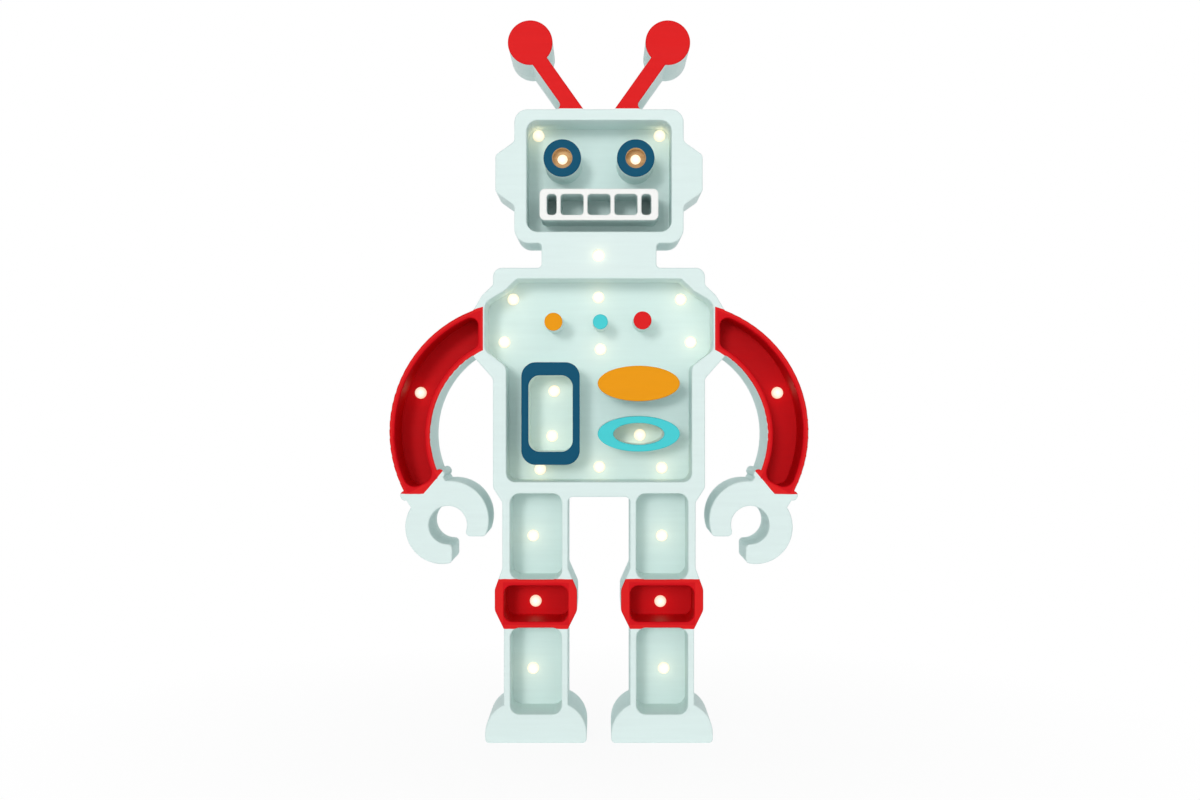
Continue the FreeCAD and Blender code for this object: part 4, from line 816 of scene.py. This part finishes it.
@dataclass
class Studio:
    """White studio: floor, far backdrop, key light, sky and the lights' own glow."""

    glow_colour: Colour = (1.0, 0.72, 0.38)
    glow_power: float = 0.00050
    glow_reach: float = 3.5 * MM
    lamp_colour: Colour = (1.0, 0.99, 0.975)
    sky_colour: Colour = (0.985, 0.995, 1.0)
    eye: Triple = (0.00066, -1.101, 0.2278)
    focal_length: float = 48.5
    key_strength: float = 0.76
    fill_strength: float = 0.74
    sky: float = 0.48

    def backdrop(self) -> None:
        """One sheet that runs back along the floor and curves up far behind the lamp.

        Its section is a line, a quarter circle and a line; it is the same across its width.
        """
        t = np.linspace(0.0, math.pi / 2, 17)
        bend, start, depth, top, half = 0.6, -2.5, 2.2, 3.5, 5.0
        along = np.concatenate([[start], depth + bend * np.sin(t), [depth + bend]])
        rise = np.concatenate([[0.0], bend * (1 - np.cos(t)), [top]])
        sides = (np.full(len(along), -half), np.full(len(along), half))
        points = np.concatenate([np.stack([side, along, rise], axis=-1) for side in sides])
        n = len(along)
        i = np.arange(n - 1)
        faces = np.stack([i, i + 1, i + 1 + n, i + n], axis=-1)
        mesh = bpy.data.meshes.new("backdrop")
        mesh.from_pydata(points.tolist(), [], faces[:, ::-1].tolist())
        mesh.polygons.foreach_set("use_smooth", np.ones(len(faces), bool))
        sheet = bpy.data.objects.new("backdrop", mesh)
        bpy.context.scene.collection.objects.link(sheet)
        g = Graph("backdrop_white")
        x, y, z, _ = g.place()
        seen = g.seen()
        near = (x * x + y * y) ** 0.5
        white = g.node("ShaderNodeEmission", {}, {0: (1.0, 1.0, 1.0), 1: 1.0})
        plain = g.node("ShaderNodeBsdfDiffuse", {}, {0: (0.93, 0.93, 0.93)})
        share = (near / 300.0 * 0.07 + 0.60) * seen + 0.3
        inputs = {0: g.math("MINIMUM", share, 1.0), 1: plain.outputs[0], 2: white.outputs[0]}
        mixed = g.node("ShaderNodeMixShader", {}, inputs)
        g.node("ShaderNodeOutputMaterial", {}, {0: mixed.outputs[0]})
        mesh.materials.append(g.material)

    def sky_light(self) -> None:
        """Even white sky, which the camera, glossy and clear surfaces see at full white."""
        world = bpy.data.worlds.new("studio")
        world.use_nodes = True
        bpy.context.scene.world = world
        g = Graph("studio_sky", world.node_tree)
        seen = g.seen()
        strength = seen * (1.0 - self.sky) + self.sky
        background = g.node("ShaderNodeBackground", {}, {0: self.sky_colour, 1: strength})
        g.node("ShaderNodeOutputWorld", {}, {0: background.outputs[0]})

    def soft_light(
        self, name: str, strength: float, angle: float, raised: float, turned: float
    ) -> None:
        """Adds a far light.

        Args:
            name: the light's name.
            strength: its strength.
            angle: how wide it looks from the object, in degrees.
            raised: degrees above the level.
            turned: degrees to the left of the camera.
        """
        data = bpy.data.lights.new(name, "SUN")
        data.energy = strength
        data.angle = math.radians(angle)
        data.color = self.lamp_colour
        data.specular_factor = 0.15
        lamp = bpy.data.objects.new(name, data)
        lamp.rotation_euler = (math.radians(90.0 - raised), 0.0, math.radians(-turned))
        bpy.context.scene.collection.objects.link(lamp)

    def glow(self, groups: list[Lenses]) -> None:
        """Puts a weak warm lamp just before each lens, which lights the walls near it.

        Args:
            groups: the lenses by zone.
        """
        data = bpy.data.lights.new("lens_glow", "POINT")
        data.energy = self.glow_power
        data.color = self.glow_colour
        data.shadow_soft_size = 0.002
        for group in groups:
            for number, centre in enumerate(group.centres):
                lamp = bpy.data.objects.new(f"{group.node}_glow_{number}", data)
                lamp.location = (centre[0], centre[1] - self.glow_reach, centre[2])
                bpy.context.scene.collection.objects.link(lamp)

    def camera(self) -> None:
        """Camera straight before the lamp, at about the middle of its height."""
        data = bpy.data.cameras.new("camera")
        data.lens = self.focal_length
        data.sensor_width = 36.0
        data.clip_start, data.clip_end = 0.05, 50.0
        eye = bpy.data.objects.new("camera", data)
        eye.location = self.eye
        eye.rotation_euler = (math.radians(90.0), 0.0, 0.0)
        bpy.context.scene.collection.objects.link(eye)
        bpy.context.scene.camera = eye


@dataclass
class RobotLamp:
    """Dresses every piece of the lamp."""

    nodes: dict[str, bpy.types.Object]
    eye_centre: tuple[float, float] = (24.4, 388.5)
    cup_radius: float = 6.75

    def finishes(self) -> dict[str, bpy.types.Material]:
        """Makes each finish once.

        Returns:
            The finish of each node by the node's name.
        """
        body = TimberFinish("painted_timber").build()
        blue = StandingFinish("blue_paint", Paint.PETROL).build()
        yellow = StandingFinish("yellow_paint", Paint.YELLOW).build()
        turquoise = StandingFinish("turquoise_paint", Paint.TURQUOISE).build()
        red = StandingFinish("red_paint", Paint.RED).build()
        white = StandingFinish("white_paint", Paint.WHITE).build()
        eye = StandingFinish("eye_paint", Paint.PETROL, (*self.eye_centre, self.cup_radius)).build()
        black = SmallFinish("black_plastic", Texture.PLASTIC, (0.02, 0.02, 0.022)).build()
        blue_plastic = SmallFinish("terminal_plastic", Texture.PLASTIC, (0.02, 0.14, 0.36)).build()
        pale_plastic = SmallFinish("resistor_body", Texture.PLASTIC, (0.42, 0.55, 0.68)).build()
        steel = SmallFinish("steel", Texture.STEEL, (0.62, 0.62, 0.64)).build()
        brass = SmallFinish("brass", Texture.BRASS, (0.78, 0.57, 0.24)).build()
        hardboard = SmallFinish("hardboard", Texture.HARDBOARD, (0.3, 0.2, 0.1)).build()
        board = SmallFinish("circuit_board", Texture.BOARD, (0.01, 0.12, 0.04)).build()
        cable = SmallFinish("white_cable", Texture.CABLE, (0.78, 0.78, 0.76)).build()
        black_cable = SmallFinish("black_cable", Texture.CABLE, (0.03, 0.03, 0.03)).build()
        chosen = {
            "front_frame": body,
            "back_board": body,
            "eye_left": eye,
            "eye_right": eye,
            "mouth_grille": white,
            "peg_yellow": yellow,
            "peg_turquoise": turquoise,
            "peg_red": red,
            "window_frame": blue,
            "oval_plate": yellow,
            "oval_ring": turquoise,
            "back_cover": hardboard,
            "driver_board": board,
            "board_resistors": pale_plastic,
            "board_terminals": blue_plastic,
            "cables_supply": black_cable,
        }
        branches = ("cables_head", "cables_shoulders", "cables_arms", "cables_legs")
        for name in ("light_tails", "cable_centre", *branches):
            chosen[name] = cable
        for name in ("board_screws", "cover_screws", "inlet_pin", "inlet_nut", "switch_spring"):
            chosen[name] = steel
        for name in ("inlet_contacts", "switch_contact_bar", "switch_terminals"):
            chosen[name] = brass
        switch = ("switch_housing", "switch_rocker", "switch_plunger")
        for name in ("board_spacers", "inlet_body", *switch):
            chosen[name] = black
        return chosen

    def dress(self) -> list[Lenses]:
        """Gives every piece its finish and builds the lenses and the spring.

        Returns:
            The groups of lenses, for their glow.
        """
        chosen = self.finishes()
        lens = LensFinish().build()
        groups = []
        for name, node in sorted(self.nodes.items()):
            if name.startswith("light") and name != "light_tails":
                group = Lenses(name, node, lens)
                made = group.build()
                groups.append(group)
                LOG.info("%s: %d lenses in %s", name, len(group.centres), made.name)
                continue
            for place in node.material_slots:
                place.material = chosen[name]
            LOG.info("%s: %s", name, chosen[name].name)
        PlungerSpring(chosen["switch_spring"]).build()
        return groups


def corners(box: tuple) -> list[list[float]]:
    """A box's two corners as plain lists."""
    return [[float(value) for value in corner] for corner in box]


def main() -> None:
    """Loads the model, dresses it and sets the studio."""
    logging.basicConfig(level=logging.INFO, format="%(name)s: %(message)s")
    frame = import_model()
    groups = RobotLamp(frame["nodes"]).dress()
    studio = Studio()
    studio.backdrop()
    studio.sky_light()
    studio.soft_light("key", studio.key_strength, angle=9.0, raised=8.0, turned=11.5)
    studio.soft_light("fill", studio.fill_strength, angle=44.0, raised=3.0, turned=-2.0)
    studio.glow(groups)
    studio.camera()
    bpy.context.scene.view_settings.view_transform = "Standard"


if __name__ == "__main__":
    main()
